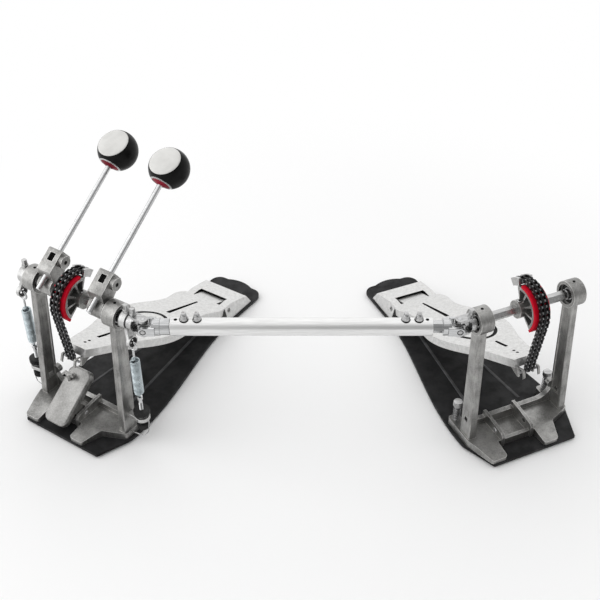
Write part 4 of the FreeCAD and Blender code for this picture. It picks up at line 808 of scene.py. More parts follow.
@dataclass
class Treadle:
    """Footboard and the clip under its toe."""

    station: Station
    groove_depth: float = 1.0
    groove_width: float = 2.4
    groove_ring: Pair = (0.85, 1.06)
    rise: float = 6.5
    thickness: float = 3.0
    hinge: Pair = (228.0, 19.0)
    angle: float = 19.7
    slots: tuple[Pair, ...] = ((27.0, 91.0), (199.0, 221.0), (234.0, 245.0))
    slot_half: float = 3.2
    slot_play: float = 1.0
    level_play: Pair = (0.06, 0.1)
    looks: Pair = (0.95, 0.3)
    badge: Triple = (144.0, 41.0, 27.0)
    rivet_out: float = 19.5
    rivet: Triple = (5.0, 2.6, 0.5)
    rivet_edge: float = 0.2
    band: tuple[float, ...] = (0.06, 1.2, 0.15, 0.02, 0.1)
    band_steps: int = 96

    @property
    def place(self) -> Matrix:
        """From the flat board, its hinge at the origin, to the pedal's frame."""
        return Matrix.Translation((0, *self.hinge)) @ Matrix.Rotation(math.radians(-self.angle), 4, "X")

    def dress(self) -> None:
        """Polishes the board, darkens its slots and holes as painted shade and the badge's groove as print, and
        dresses the clip.
        """
        board = dress_node(self.station.name + "_footboard", POLISHED, edge=0.5)
        flat = (self.station.matrix @ self.place).inverted()
        turn = flat.to_3x3()
        # Slot and hole walls are painted dark as shade; the badge's groove is darkened as print.
        repaint(board, DARK, lambda face: self._is_recess(flat @ face.center, (turn @ face.normal).normalized().z))
        dress_node(self.station.name + "_toe_clip", CAST, edge=0.4)
        self.rivets()
        self.inlay()

    def _is_recess(self, spot: Vector, turned: float) -> bool:
        """Whether a face is darkened: a slot's or hole's wall as painted shade, the groove as print.

        Args:
            spot: the face's middle on the flat board.
            turned: how far the face looks up.

        Returns:
            True for the dark faces.
        """
        level = spot.z - self.rise
        upward, sideways = self.looks
        if abs(level + self.groove_depth) < self.level_play[0] and turned > upward:
            return True
        if abs(turned) > sideways or level < -self.thickness - self.level_play[1]:
            return False
        along = -spot.y
        in_slot = any(a - self.slot_play < along < b + self.slot_play for a, b in self.slots)
        centre, half_length, half_width = self.badge
        ring = math.hypot(spot.x / half_width, (along - centre) / half_length)
        in_ring = self.groove_ring[0] < ring < self.groove_ring[1]
        return in_slot and abs(spot.x) < self.slot_half or in_ring and -self.groove_depth < level < 0

    def rivets(self) -> None:
        """Sets two flat dark rivets inside the badge's oval."""
        shape = Shape()
        for sign in BOTH:
            spot = self.place @ Matrix.Translation((sign * self.rivet_out, -self.badge[0], self.rise))
            shape.block(self.rivet, spot, self.rivet_edge)
        self.station.own(shape, "badge_rivets", DARK, "footboard")

    def inlay(self) -> None:
        """Fills the badge's groove with a black band, a little proud of the board."""
        centre, half_length, half_width = self.badge
        play, lip, proud, skin, slope = self.band
        wide, low = self.groove_width, play - self.groove_depth
        section = ((-play, low), (-play, skin), (lip, skin), (lip - slope, proud), (slope - wide - lip, proud),
                   (-wide - lip, skin), (play - wide, skin), (play - wide, low))
        shape = Shape()
        form = shape.mesh
        rings = []
        for k in range(self.band_steps):
            way = spoke(k / self.band_steps)
            rings.append([form.verts.new(((half_width + out) * way.x, (half_length + out) * way.y - centre,
                                          self.rise + up)) for out, up in section])
        for a, b in zip(rings, rings[1:] + rings[:1]):
            for k in range(len(section)):
                after = (k + 1) % len(section)
                form.faces.new((a[k], a[after], b[after], b[k]))
        bmesh.ops.transform(form, matrix=self.place, verts=form.verts[:])
        self.station.own(shape, "badge_band", DARK, "footboard")


@dataclass
class ChainDrive:
    """Shaft, cam and the two-strand chain of one pedal, from the cam's clip to the toe clip."""

    station: Station
    pitch: float = 6.35
    breaks: tuple[int, int, int] = (5, 8, 11)
    start_angle: float = -113.0
    wrap_radius: float = 31.7
    rim_radius: float = 25.5
    height: float = 5.2
    waist: Pair = (0.1, 0.76)
    thickness: float = 1.0
    strand: float = 4.4
    roller: float = 1.65
    rivet: Triple = (0.7, 0.4, 0.12)
    clip_length: float = 11.0
    clip_wall: float = 3.0
    clip_proud: Pair = (0.2, 0.4)
    stud_at: Triple = (0.62, 0.52, 0.1)
    stud: Profile = ((0, 0.2), (1.0, 0.2), (1.1, 0.9), (2.0, 0.8), (2.2, 0.3), (2.2, -0.5), (0, -0.5))
    hook_pin: Triple = (1.5, 11.5, 0.3)
    cam_bolt: Triple = (2.2, 1.8, 0.4)
    cam_bolt_at: Pair = (11.8, 10.1)
    hinge: Pair = (228.0, 19.0)
    hook_reach: float = 262.0
    hook_drop: float = 9.0
    board_angle: float = 19.7

    def pins(self) -> list[Vector]:
        """Pin centres from the clip to the hook, in the pedal's frame.

        Returns:
            The points.
        """
        sine, cosine = math.sin(math.radians(self.board_angle)), math.cos(math.radians(self.board_angle))
        hook = Vector((0, self.hinge[0] - self.hook_reach * cosine - self.hook_drop * sine,
                       self.hinge[1] + self.hook_reach * sine - self.hook_drop * cosine))
        reach = hook - self.station.axis
        straight = math.sqrt(reach.length ** 2 - self.wrap_radius ** 2)
        leave = math.atan2(-reach.z, -reach.y) - math.acos(self.wrap_radius / reach.length)
        up = (self._on_wheel(leave) - hook).normalized()
        wrap = self.wrap_radius * (leave - math.radians(self.start_angle))
        found = []
        for k in range(round((straight + wrap) / self.pitch) + 1):
            run = k * self.pitch
            if run <= straight:
                found.append(hook + up * run)
            else:
                found.append(self._on_wheel(leave - (run - straight) / self.wrap_radius))
        return found[::-1]

    def _on_wheel(self, angle: float) -> Vector:
        """A point of the chain's line round the cam."""
        return self.station.axis - self.wrap_radius * Vector((0, math.cos(angle), math.sin(angle)))

    def _plate(self, shape: Shape, a: Vector, b: Vector, x: float) -> None:
        """Adds one waisted side plate.

        Args:
            shape: receives the plate.
            a: first pin.
            b: second pin.
            x: middle of the plate's thickness.
        """
        along = (b - a).normalized()
        turn = Matrix((along, ACROSS.cross(along), ACROSS)).transposed().to_4x4()
        plate = bmesh.new()
        bmesh.ops.create_circle(plate, cap_ends=True, segments=18, radius=self.height / 2)
        for vert in plate.verts:
            if abs(vert.co.x) < self.height * self.waist[0]:
                vert.co.y *= self.waist[1]
            else:
                vert.co.x += math.copysign(self.pitch / 2, vert.co.x)
        thicken(plate, self.thickness)
        shape.add(plate, Matrix.Translation((a + b) / 2 + ACROSS * (x - self.thickness / 2)) @ turn)

    def run(self, first: int, last: int) -> tuple[Shape, Shape]:
        """The links from one pin to another.

        Args:
            first: number of the first pin.
            last: number of the last pin.

        Returns:
            The black plates, and the rollers and rivets.
        """
        pins = self.pins()
        plates, bright = Shape(), Shape()
        wide, thick = self.strand, self.thickness
        outside = wide + thick
        share, proud, edge = self.rivet
        for k in range(first, last):
            a, b = pins[k], pins[k + 1]
            if k % 2:
                for middle in (outside / 2, -outside / 2):
                    for side in BOTH:
                        self._plate(plates, a, b, middle + side * (wide - thick) / 2)
                    for pin in (a, b):
                        start = pin + ACROSS * (middle - wide / 2 + thick)
                        bright.rod(self.roller, wide - 2 * thick, facing(ACROSS, start), sides=14)
            else:
                for x in (-outside, 0, outside):
                    self._plate(plates, a, b, x)
                for pin in (a, b):
                    for sign in BOTH:
                        start = pin + ACROSS * sign * (outside + thick / 2)
                        bright.rod(self.roller * share, proud, facing(ACROSS * sign, start), sides=12, edge=edge)
        return plates, bright

    def chain(self) -> None:
        """Builds the four runs of the chain in place of their solids."""
        last = self.pins()[-1]
        ends = (0, *self.breaks, len(self.pins()) - 1)
        bodies = {"wrap": "shaft", "upper": "upper_run", "lower": "lower_run", "tail": "tail"}
        for (label, body), first, end in zip(bodies.items(), ends, ends[1:]):
            plates, bright = self.run(first, end)
            self.station.own(plates, label + "_plates", CHAIN, body, "chain_" + label)
            self.station.own(bright, label + "_rollers", ROLLER, body)
        hook = Shape()
        radius, half, edge = self.hook_pin
        hook.rod(radius, 2 * half, facing(ACROSS, last - ACROSS * half), sides=20, edge=edge)
        self.station.own(hook, "hook_pin", ROLLER, "tail")

    def clip(self) -> None:
        """Builds the clip that holds the chain's end on the cam: two cheeks, a black block and its screws."""
        first = self.pins()[0]
        angle = math.degrees(math.atan2(self.station.shaft_height - first.z, -first.y))
        arc = math.degrees(1 / self.wrap_radius)
        half = 1.5 * self.thickness + self.strand
        top = self.wrap_radius + self.height / 2
        place = Matrix.Translation(self.station.axis)
        start, wall = angle - self.clip_length * arc, self.clip_wall
        cheeks, block, studs = Shape(), Shape(), Shape()
        block.sector((self.rim_radius, top), (start, angle - self.height / 2 * arc), (-half, half), place)
        span = (self.rim_radius + self.clip_proud[0], top + self.clip_proud[1])
        for x in (half, -half - wall):
            cheeks.sector(span, (start, angle + wall * arc), (x, x + wall), place)
        back, aside, sunk = self.stud_at
        lift = math.radians(angle - self.clip_length * back * arc)
        out = Vector((0, -math.cos(lift), -math.sin(lift)))
        for sign in BOTH:
            seat = self.station.axis + out * (top - sunk) + ACROSS * sign * half * aside
            studs.lathe(self.stud, facing(out, seat), steps=20)
        self.station.own(cheeks, "chain_clip", ALLOY, "shaft")
        self.station.own(block, "clip_block", CHAIN, "shaft")
        self.station.own(studs, "clip_screws", STEEL, "shaft")

    def dress(self) -> None:
        """Dresses the shaft and cam and builds the chain, its clip and the cam's bolts."""
        name = self.station.name
        dress_node(name + "_hex_shaft", STEEL, edge=0.3)
        dress_node(name + "_cam", CAST, edge=0.5, rim=CAST_EDGE)
        dress_node(name + "_cam_cushion", RED, edge=0.4)
        self.chain()
        self.clip()
        bolts = Shape()
        radius, length, edge = self.cam_bolt
        out, up = self.cam_bolt_at
        for sign in BOTH:
            bolts.rod(radius, length, facing(UP, self.station.axis + Vector((sign * out, 0, up))), sides=20, edge=edge)
        self.station.own(bolts, "cam_bolts", BRIGHT, "shaft")


@dataclass
class Beater:
    """A beater: clamp hub on the shaft, rod, ball and striking face."""

    station: Station
    name: str
    hub_body: str
    body: str
    x: float
    lobe_side: int
    lean: float = 55.0
    rod_offset: float = 15.0
    rod_radius: float = 3.2
    rod_tail: float = 12.5
    rod_edge: float = 0.6
    reach: float = 171.7
    ball: float = 23.5
    ball_steps: tuple[int, int] = (72, 40)
    face: float = 19.0
    face_play: float = 0.3
    face_tilt: float = 9.0
    face_dome: tuple[float, Pair] = (1.9, (0.5, 1.75))
    face_rim: Profile = ((-2.4, 1.3), (-1.0, 0.9), (-0.25, 0.4), (0, -0.2), (0, -0.8))
    cap: float = 13.6
    cap_play: float = 0.15
    ring: Profile = ((-2.4, -0.5), (-2.4, 0.75), (-2.0, 0.95), (-0.7, 0.6), (-0.15, 0.1), (-0.1, -0.5), (-2.4, -0.5))
    cone: Profile = ((0, -0.4), (0, 3.2), (1.4, 3.1), (2.2, 2.4))
    cone_rim: Profile = ((-3.4, 1.0), (-2.45, 0.6), (-2.45, -0.4))
    hub_width: float = 20.0
    bolt_at: float = 27.5
    bolt_reach: float = 5.0
    bolt_hole: Profile = ((0, 0.04), (1.5, 0.04), (1.7, 0.2), (2.3, 0.15), (2.4, -0.3), (0, -0.3))
    depth: float = 17.0
    window: tuple[float, ...] = (8.0, 10.0, 21.5, 4.0)
    window_back: Triple = (0.2, 0.8, 0.3)
    screw: Triple = (3.0, 2.4, 0.5)
    screw_at: Triple = (-0.2, 2.0, 6.0)
    socket: Triple = (1.5, 0.2, 2.35)

    @property
    def upright(self) -> Matrix:
        """From a beater drawn upright on the shaft axis to the pedal's frame."""
        return Matrix.Translation(self.station.axis) @ Matrix.Rotation(math.radians(-self.lean), 4, "X")

    def point(self, side: float, depth: float, height: float) -> Vector:
        """A point drawn on the upright beater, in the pedal's frame."""
        return self.upright @ Vector((self.x + side, depth, height))

    def direction(self, way: Vector) -> Vector:
        """A direction drawn on the upright beater, in the pedal's frame."""
        return self.upright.to_3x3() @ way

    def dress(self) -> None:
        """Dresses the hub and builds the rod, the ball with its face and cap, and the bolts."""
        dress_node(self.name + "_beater_hub", CAST, edge=0.8, rim=CAST_EDGE)
        self.rod()
        self.head()
        self.under_cap()
        self.hub_bolts()

    def rod(self) -> None:
        """Turns the rod with chamfered ends."""
        shape = Shape()
        start = self.point(0, -self.rod_offset, -self.rod_tail)
        place = facing(self.direction(UP), start)
        shape.rod(self.rod_radius, self.reach + self.rod_tail, place, sides=40, edge=self.rod_edge)
        self.station.make(shape, self.name + "_rod", ROD, self.body, self.name + "_beater_rod")

    def _flat(self, radius: float) -> float:
        """How far from the ball's middle a flat of some radius lies."""
        return math.sqrt(self.ball ** 2 - radius ** 2)

    def head(self) -> None:
        """Cuts a ball flat for its face and its cap, and sets the pale face in it."""
        centre = self.point(0, -self.rod_offset, self.reach)
        look = self.direction(Matrix.Rotation(math.radians(-self.face_tilt), 3, "X") @ Vector((0, -1, 0)))
        flat = self._flat(self.face)
        shape, disc = Shape(), Shape()
        form = shape.mesh
        around, along = self.ball_steps
        bmesh.ops.create_uvsphere(form, u_segments=around, v_segments=along, radius=self.ball,
                                  matrix=facing(self.direction(ACROSS), centre))
        for way, reach in ((look, flat), (self.direction(-UP), self._flat(self.cap))):
            bmesh.ops.bisect_plane(form, geom=form.verts[:] + form.edges[:] + form.faces[:], dist=MERGE / 10,
                                   plane_co=centre + way * reach, plane_no=way, clear_outer=True)
            close(form)
        self.station.make(shape, self.name + "_ball", BALL_BLACK, self.body, self.name + "_beater_head")
        edge = self.face - self.face_play
        crown, (share, shoulder) = self.face_dome
        profile = [(0, crown), (edge * share, shoulder), *offset(edge, 0, self.face_rim), (0, self.face_rim[-1][1])]
        disc.lathe(profile, facing(look, centre + look * flat), steps=72)
        self.station.make(disc, self.name + "_face", BALL_WHITE, self.body, self.name + "_beater_face")

    def under_cap(self) -> None:
        """Puts a bright ring round a red cone, darkened as painted shade, on the flat under the ball."""
        seat = self.point(0, -self.rod_offset, self.reach - self._flat(self.cap))
        place = facing(self.direction(-UP), seat)
        ring, disc = Shape(), Shape()
        ring.lathe(offset(self.cap, 0, self.ring), place, steps=56)
        cone = offset(self.rod_radius + self.cap_play, 0, self.cone)
        disc.lathe([*cone, *offset(self.cap, 0, self.cone_rim), cone[0]], place, steps=56)
        self.station.make(ring, self.name + "_cap_ring", STEEL, self.body)
        # The cap's red is darkened as painted shade.
        self.station.make(disc, self.name + "_cap_disc", CAP_RED, self.body)

    def hub_bolts(self) -> None:
        """Adds the bolt's hole in the hub's lobe and the nut's window as dark shapes painted as the shade in them, and
        a set screw with a dark socket painted as its shade.
        """
        dark, bright = Shape(), Shape()
        out = ACROSS * self.lobe_side
        face = self.point(self.lobe_side * (self.hub_width / 2 + self.bolt_reach), -self.rod_offset, self.bolt_at)
        # Dark shapes painted as the shade in the bolt's hole, behind the nut's window and in the screw's socket.
        dark.lathe(self.bolt_hole, facing(out, face), steps=28)
        wide, tall, low, cut = self.window
        play, thick, sunk = self.window_back
        deep = -self.rod_offset - self.depth / 2 + cut
        seat = self.upright @ Matrix.Translation((self.x, deep - sunk, low + tall / 2))
        dark.block((wide - play, thick, tall - play), seat)
        side, back, up = self.screw_at
        screw = self.point(self.lobe_side * (self.hub_width / 2 + side), back, up)
        radius, length, edge = self.screw
        bright.rod(radius, length, facing(out, screw), sides=24, edge=edge)
        radius, length, start = self.socket
        dark.prism(6, radius, length, facing(out, screw + out * start))
        self.station.make(bright, self.name + "_hub_bolts", BRIGHT, self.hub_body)
        self.station.make(dark, self.name + "_hub_painted_shade", DARK, self.hub_body)


@dataclass
class SpringSide:
    """Rocker, spring, rod and knobs on one side of the primary pedal."""

    station: Station
    side: str
    sign: int
    rocker_body: str
    out: float = 84.0
    eye: Pair = (-6.0, 151.5)
    eye_bore: Pair = (4.26, 4.38)
    eye_width: float = 4.0
    flange: Profile = ((0, 0.02), (1.5, 0.02), (1.4, 0.4), (0.5, 0.45))
    coil: Pair = (77.3, 123.3)
    coil_radius: float = 4.8
    coil_steps: int = 20
    wire: tuple[float, int] = (1.14, 3)
    turns: int = 20
    lead: float = 7.0
    stub: float = 3.4
    rod_radius: float = 2.4
    rod_end: float = 22.0
    thread: Triple = (0.9, 62.0, 0.35)
    shank: float = 0.1
    collar: Profile = ((-0.1, -5), (0.9, -4.4), (0.9, -0.6), (0, 0))
    bracket: Pair = (35.5, 40.5)
    play: float = 0.9
    nut_play: float = 1.4
    upper_knob: tuple[float, float, float, int] = (9.6, 6.5, 0.3, 30)
    upper_rims: tuple[Profile, Profile] = (((-1.6, 0), (-1.2, 0.3)), ((-1.2, -0.3), (-2.4, 0)))
    lower_knob: tuple[float, float, float, int] = (7.5, 8.0, 0.4, 24)
    lower_rims: tuple[Profile, Profile] = (((-2.0, 0), (-1.0, 0.4)), ((-1.0, -0.4), (-2.0, 0)))
    rib: Pair = (0.75, 0.2)
    dome: float = 4.6
    dome_shape: Triple = (0.55, 0.4, 0.05)
    nut: Triple = (5.2, 4.0, 0.4)
    keeper_wire: Pair = (0.65, 2.5)
    keeper_out: float = 8.6
    route: tuple[Triple, ...] = ((1.5, 1, 36.5), (0, 1, 34.0), (0, -2, 19.0), (6, -5, 12.5), (26.6, -7, 11.5))

    def at(self, z: float) -> Vector:
        """A point on the spring's line."""
        return Vector((self.sign * self.out, self.eye[0], z))

    def dress(self) -> None:
        """Dresses the rocker and hook and builds bush, spring, rod, knobs and the bent wire."""
        dress_node(self.side + "_rocker", ALLOY, edge=0.5)
        dress_node(self.side + "_spring_hook", BRIGHT, edge=0)
        self.bush()
        self.spring()
        self.threaded_rod()
        self.knobs()
        self.keeper()

    def bush(self) -> None:
        """Lines the rocker's eye with a black flanged bush."""
        shape = Shape()
        bore, hole = self.eye_bore
        half = self.eye_width / 2
        profile = [*offset(hole, half, self.flange), (bore, half)]
        shape.lathe(mirrored(profile), facing(ACROSS, self.at(self.eye[1])), steps=36)
        self.station.make(shape, self.side + "_eye_bush", KNOB, self.rocker_body)

    def spring(self) -> None:
        """Winds the close coil whose ends turn in to the rod and the hook."""
        low, high = self.coil
        start, end = self.at(low - self.lead), self.at(high + self.lead)
        points = [start, start + UP * self.stub]
        rise = self.lead - self.stub
        for k in range(1, (self.turns + 2) * self.coil_steps):
            turn = k / self.coil_steps
            first, last = min(turn, 1.0), min(self.turns + 2 - turn, 1.0)
            share = math.sin(min(first, last) * math.pi / 2)
            body = min(max((turn - 1) / self.turns, 0.0), 1.0)
            z = low + (high - low) * body - rise * (1 - first) + rise * (1 - last)
            points.append(self.at(z) + spoke(turn) * self.coil_radius * share)
        points += [end - UP * self.stub, end]
        bodies = (self.side + "_spring_rod", self.side + "_spring_hook")
        piece = self.station.coil(points, self.wire, self.side + "_coil", ZINC, bodies, (start, end))
        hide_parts(self.side + "_spring")

    def threaded_rod(self) -> None:
        """Turns the rod: a thread below, a plain shank and a collar that holds the coil."""
        shape = Shape()
        top = self.coil[0] - self.lead
        radius, (pitch, thread_top, deep) = self.rod_radius, self.thread
        profile = [(0, self.rod_end)]
        for k in range(int((thread_top - self.rod_end) / pitch)):
            z = self.rod_end + k * pitch
            profile += [(radius - deep, z), (radius, z + pitch / 2)]
        profile += [(radius - self.shank, thread_top), *offset(radius, top, self.collar), (0, top)]
        shape.lathe(profile, Matrix.Translation(self.at(0)), steps=20)
        rod = self.side + "_spring_rod"
        self.station.make(shape, self.side + "_threaded_rod", BRIGHT, rod, rod)

    def knobs(self) -> None:
        """Builds the knurled knob over the bracket and the nut and knob under it."""
        upper, dome, lower = Shape(), Shape(), Shape()
        seat = self.bracket[1] + self.play
        base = seat + self.dome / 2
        inner = self.rod_radius + self.shank
        self._knob(upper, self.upper_knob, self.upper_rims, inner, base, steps=48)
        foot, belly, gap = self.dome_shape
        profile = [(inner, seat), (self.dome * foot, seat), (self.dome, seat + self.dome * belly),
                   (self.dome, base - gap), (inner, base - gap), (inner, seat)]
        dome.lathe(profile, Matrix.Translation(self.at(0)), steps=32)
        corner, thick, edge = self.nut
        under = self.bracket[0] - self.nut_play - thick
        lower.prism(6, corner, thick, Matrix.Translation(self.at(under)), edge)
        self._knob(lower, self.lower_knob, self.lower_rims, 0, under - self.lower_knob[1], steps=40)
        knob = self.side + "_tension_knob"
        self.station.make(upper, self.side + "_upper_knob", KNOB, knob, knob)
        self.station.make(dome, self.side + "_knob_seat", BRIGHT, knob)
        self.station.make(lower, self.side + "_lower_knob", KNOB, self.side + "_spring_rod")

    def _knob(self, shape: Shape, knob: tuple[float, float, float, int], rims: tuple[Profile, Profile],
              inner: float, foot: float, steps: int) -> None:
        """Adds a knob with upright grip ribs.

        Args:
            shape: receives the knob.
            knob: its radius and height, the ribs' distance from its ends and their number.
            rims: its lower and upper rim, set out from its radius.
            inner: radius of its bore, or 0.
            foot: height of its foot.
            steps: sides of its core.
        """
        radius, height, margin, count = knob
        core = [(inner, foot), *offset(radius, foot, rims[0]), *offset(radius, foot + height, rims[1]),
                (inner, foot + height)]
        shape.lathe(core + core[:1] if inner else core, Matrix.Translation(self.at(0)), steps)
        rib, edge = self.rib
        shape.ribs(count, radius - rib, (rib, height - 2 * margin, edge), self.at(foot + margin), sides=8)

    def keeper(self) -> None:
        """Bends the thin wire that runs from the bracket's ring down to the foot."""
        shape = Shape()
        radius, bend = self.keeper_wire
        x, y = self.out + self.keeper_out, self.eye[0]
        route = [Vector((self.sign * (x - inward), y + along, up)) for inward, along, up in self.route]
        shape.wire(rounded(route, bend), radius)
        self.station.make(shape, self.side + "_keeper_wire", STEEL, "primary_frame")


@dataclass
class DriveBar:
    """The telescopic bar with its universal joints, tube and key bolts."""

    primary: Station
    slave: Station
    joints: Pair = (99.0, -87.0)
    ear: float = 10.6
    cap: Profile = ((0, 0.5), (1.5, 0.45), (2.3, 0.1), (2.3, -0.6), (0, -0.6))
    tube: Pair = (9.8, 280.0)
    bolts: Pair = (15.0, 29.0)
    bell: Profile = ((0, 0.5), (4.7, 0.5), (4.8, 1.4), (4.2, 3.0), (3.5, 5.0), (3.1, 6.4), (2.8, 6.8), (0, 6.8))
    washer: Profile = ((2.6, -0.6), (5.0, -0.9), (5.0, 0.5), (2.6, 0.7), (2.6, -0.6))
    square: Triple = (4.4, 4.4, 3.0)
    square_at: float = 7.9
    square_edge: float = 0.7
    vent_at: float = 6.0
    vent: Profile = ((0, 0.15), (1.6, 0.12), (2.0, -0.1), (2.1, -0.6), (0, -0.6))

    def dress(self) -> None:
        """Dresses the bar's solids and adds key bolts and pin caps."""
        dress_node("secondary_sleeve", STEEL, edge=0.4)
        for name in ("primary", "slave"):
            dress_node(name + "_joint_cross", STEEL, edge=0.5)
            # The bars' rounded edges take the dark steel finish as painted shade.
            dress_node(name + "_drive_bar", BRIGHT, edge=0.5, rim=ROLLER)
        dress_node("link_tube", TUBE, edge=0.5)
        self.key_bolts()
        for station, x in zip((self.primary, self.slave), self.joints):
            self.pin_caps(station, x)

    @property
    def line(self) -> tuple[Vector, Vector]:
        """Middle of the tube and its direction, in millimetres of the part's frame."""
        low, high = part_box("link_tube")
        near = self.primary.matrix @ (self.primary.axis + ACROSS * self.joints[0])
        far = self.slave.matrix @ (self.slave.axis + ACROSS * self.joints[1])
        return (low + high) / (2 * MM), (far - near).normalized()

    def key_bolts(self) -> None:
        """Builds the tube's key bolts: a bell with a square head on a black washer, and a vent by each pair, a dark
        disc painted as the shade in its hole.
        """
        middle, along = self.line
        top, length = self.tube
        bells, washers_and_vent_shade = Shape(), Shape()
        for sign in BOTH:
            *feet, vent = (facing(UP, middle + along * sign * (length / 2 - at) + UP * top)
                           for at in (*self.bolts, self.vent_at))
            for foot in feet:
                washers_and_vent_shade.lathe(self.washer, foot, steps=32)
                bells.lathe(self.bell, foot, steps=32)
                bells.block(self.square, foot @ Matrix.Translation((0, 0, self.square_at)), self.square_edge)
            # The vent is a dark disc, painted as the shade in its hole.
            washers_and_vent_shade.lathe(self.vent, vent, steps=24)
        body = frame["nodes"]["link_tube"]["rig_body"]
        scale = Matrix.Scale(MM, 4)
        finish_piece(bells, "tube_bell_bolts", STEEL, body, scale, "tube_key_bolts")
        finish_piece(washers_and_vent_shade, "tube_washers_and_vent_shade", DARK, body, scale)

    def pin_caps(self, station: Station, x: float) -> None:
        """Caps the upright pin of the joint's cross at a point of a pedal's shaft."""
        shape = Shape()
        for sign in BOTH:
            seat = station.axis + ACROSS * x + UP * sign * self.ear
            shape.lathe(self.cap, facing(UP * sign, seat), steps=24)
        station.own(shape, "cross_caps", BRIGHT, "cross")


@dataclass
class HoopClamp:
    """The rocking clamp plate of the primary pedal and its wing screw."""

    flat: float = 0.97

    def dress(self) -> None:
        """Dresses the plate: its top face in a lighter cast finish as painted light, its other faces in the darker one
        as painted shade, and its edges with a painted highlight. Dresses the screw with the same edge highlight.
        """
        lever = dress_node("hoop_lever", CAST_LIGHT, edge=0.5, rim=CAST_EDGE)
        top = max(lever.data.polygons, key=lambda face: face.area * face.normal.z).normal
        # Faces that don't look the same way as the top are repainted in the darker cast finish, as painted shade.
        repaint(lever, CAST, lambda face: face.normal.dot(top) < self.flat)
        dress_node("clamp_screw", CAST, edge=0.5, rim=CAST_EDGE)


@dataclass
class SpurScrew:
    """A sprung spur screw at a rear corner of the slave pedal."""

    station: Station
    side: str
    sign: int
    place: Pair = (63.5, 14.0)
    seat: float = 14.5
    head: Triple = (5.2, 37.0, 7.0)
    knurls: int = 26
    knurl: Triple = (0.55, 0.1, 0.8)
    knurl_edge: float = 0.1
    coil_radius: float = 4.0
    coil_steps: int = 16
    wire: tuple[float, int] = (0.55, 2)
    gap: float = 0.6
    turns: int = 6

    def dress(self) -> None:
        """Dresses the screw, knurls its head and winds the spring under it, darkened as painted shade."""
        name = self.side + "_spur"
        dress_node(name + "_screw", STEEL, edge=0.4)
        foot = Vector((self.sign * self.place[0], self.place[1], 0))
        radius, low, height = self.head
        rib, sunk, margin = self.knurl
        grip = Shape()
        grip.ribs(self.knurls, radius - sunk, (rib, height - 2 * margin, self.knurl_edge),
                  foot + UP * (low + margin), sides=6)
        self.station.make(grip, name + "_knurl", STEEL, name)
        count = self.turns * self.coil_steps
        span = low - self.seat - 2 * self.gap
        points = [foot + UP * (self.seat + self.gap + span * k / count) + spoke(k / self.coil_steps) * self.coil_radius
                  for k in range(count + 1)]
        # The spring takes the dark steel finish as painted shade under the head.
        self.station.coil(points, self.wire, name + "_coil", ROLLER, ("slave_frame", name),
                          (foot + UP * self.seat, foot + UP * low))


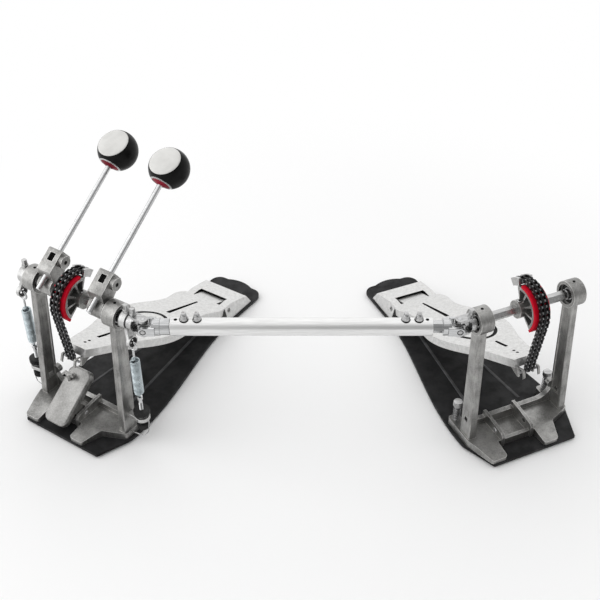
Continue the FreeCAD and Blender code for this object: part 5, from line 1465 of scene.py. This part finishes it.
@dataclass
class Studio:
    """Floor, light and the photograph's camera."""

    camera_place: Triple = (0.0041, -0.9187, 0.8106)
    camera_pitch: float = 37.6
    lens: float = 56.39
    sensor: float = 36.0
    clip_start: float = 0.01
    floor_size: float = 8.0
    floor_drop: float = 0.0005
    floor_grey: float = 0.96
    floor_rough: float = 0.9
    floor_fade: Pair = (0.36, 0.75)
    boxes: tuple[tuple[str, Triple, float, float], ...] = (
        ("top_box", (-0.6, 0.3, 2.3), 3.6, 10.0), ("back_box", (0.2, 2.6, 1.4), 3.0, 7.0),
        ("side_box", (-2.0, -0.2, 0.9), 1.8, 10.0))
    aim: Triple = (0.0, 0.0, 0.1)
    world_level: float = 0.95
    grey_patch: Triple = (0.5, -0.77, 0.4)
    grey_stops: Profile = ((0.0, 1.0), (0.42, 0.98), (0.68, 0.82), (0.88, 0.5), (1.0, 0.18))

    def floor(self) -> None:
        """Lays a pale floor under the pedals, which camera and bright metal see fade to white further out."""
        form = bmesh.new()
        bmesh.ops.create_grid(form, x_segments=1, y_segments=1, size=self.floor_size)
        look = bpy.data.materials.new("pale_floor")
        look.use_nodes = True
        self._fade(look.node_tree)
        mesh = baked(form, "floor")
        mesh.materials.append(look)
        ground = put("floor", mesh)
        ground.location.z = -self.floor_drop

    def _fade(self, tree: Tree) -> None:
        """Colours the floor, and turns it white away from the pedals for the rays that show it."""
        near, far = self.floor_fade
        nodes = add_nodes(tree, {
            "place": ("ShaderNodeTexCoord", {}),
            "rays": ("ShaderNodeLightPath", {}),
            "far": ("ShaderNodeVectorMath", {"operation": "LENGTH"}),
            "span": ("ShaderNodeMapRange", {"interpolation_type": "SMOOTHSTEP", "From Min": near, "From Max": far}),
            "showing": ("ShaderNodeMath", {"operation": "MAXIMUM"}),
            "share": ("ShaderNodeMath", {"operation": "MULTIPLY"}),
            "white": ("ShaderNodeEmission", {}),
            "either": ("ShaderNodeMixShader", {}),
        })
        nodes["shader"] = shader = kept(tree, "ShaderNodeBsdfPrincipled")
        nodes["end"] = kept(tree, "ShaderNodeOutputMaterial")
        shader.inputs["Base Color"].default_value = (self.floor_grey, self.floor_grey, self.floor_grey, 1)
        shader.inputs["Roughness"].default_value = self.floor_rough
        join(tree, nodes, "place.Object>far.0, far.Value>span.Value, rays.Is Camera Ray>showing.0,"
             "rays.Is Glossy Ray>showing.1, showing.Value>share.0, span.Result>share.1, share.Value>either.Fac,"
             "shader.BSDF>either.1, white.Emission>either.2, either.Shader>end.Surface")

    def lights(self) -> None:
        """Hangs soft boxes above, behind and beside the pedals."""
        for name, place, size, power in self.boxes:
            lamp = bpy.data.lights.new(name, "AREA")
            lamp.size = size
            lamp.energy = power
            hung = put(name, lamp)
            hung.location = place
            hung.rotation_euler = (Vector(self.aim) - Vector(place)).to_track_quat("-Z", "Y").to_euler()

    def world(self) -> None:
        """Lights the world softly, with a dark patch low at the front right that streaks bright metal.

        The camera itself sees it white.
        """
        world = bpy.data.worlds.new("studio")
        bpy.context.scene.world = world
        world.use_nodes = True
        tree = world.node_tree
        back, end = kept(tree, "ShaderNodeBackground"), kept(tree, "ShaderNodeOutputWorld")
        back.inputs["Strength"].default_value = self.world_level
        nodes = {"back": back, "end": end, **add_nodes(tree, {
            "place": ("ShaderNodeTexCoord", {}),
            "toward": ("ShaderNodeVectorMath", {"operation": "DOT_PRODUCT", 1: self.grey_patch}),
            "ramp": ("ShaderNodeValToRGB", {}),
            "seen": ("ShaderNodeBackground", {"Color": (1, 1, 1, 1)}),
            "rays": ("ShaderNodeLightPath", {}),
            "either": ("ShaderNodeMixShader", {}),
        })}
        stops = nodes["ramp"].color_ramp.elements
        for _ in self.grey_stops[2:]:
            stops.new(0.5)
        for stop, (at, level) in zip(stops, self.grey_stops):
            stop.position, stop.color = at, (level, level, level, 1)
        join(tree, nodes, "place.Generated>toward.0, toward.Value>ramp.Fac, ramp.Color>back.Color,"
             "rays.Is Camera Ray>either.Fac, back.Background>either.1, seen.Background>either.2,"
             "either.Shader>end.Surface")

    def camera(self) -> None:
        """Stands the camera where the photograph was taken."""
        data = bpy.data.cameras.new("camera")
        data.lens = self.lens
        data.sensor_width = self.sensor
        data.clip_start = self.clip_start
        stand = put("camera", data)
        stand.location = self.camera_place
        stand.rotation_euler = (math.radians(90 - self.camera_pitch), 0, 0)
        bpy.context.scene.camera = stand

    def build(self) -> None:
        """Sets the whole studio."""
        self.floor()
        self.lights()
        self.world()
        self.camera()
        bpy.context.scene.view_settings.view_transform = "Standard"


def main() -> None:
    """Builds every piece of the pedal and the studio round it."""
    logging.basicConfig(level=logging.INFO)
    primary, slave = Station("primary"), Station("slave")
    Studio().build()
    CastFrame(primary, (6.0, 7.5), "primary_hinge_pins").dress()
    CastFrame(slave, (6.0, 6.0), "slave_hinge_pin").dress()
    for station in (primary, slave):
        Treadle(station).dress()
        ChainDrive(station).dress()
    Beater(primary, "primary", "primary_shaft", "primary_beater", -38.0, 1).dress()
    Beater(primary, "secondary", "second_shaft", "second_beater", 38.0, 1).dress()
    SpringSide(primary, "left", -1, "primary_shaft").dress()
    SpringSide(primary, "right", 1, "second_shaft").dress()
    dress_node("spring_brackets", ALLOY, edge=0.5, rim=CAST_EDGE)
    DriveBar(primary, slave).dress()
    HoopClamp().dress()
    SpurScrew(slave, "left", -1).dress()
    SpurScrew(slave, "right", 1).dress()


if __name__ == "__main__":
    main()
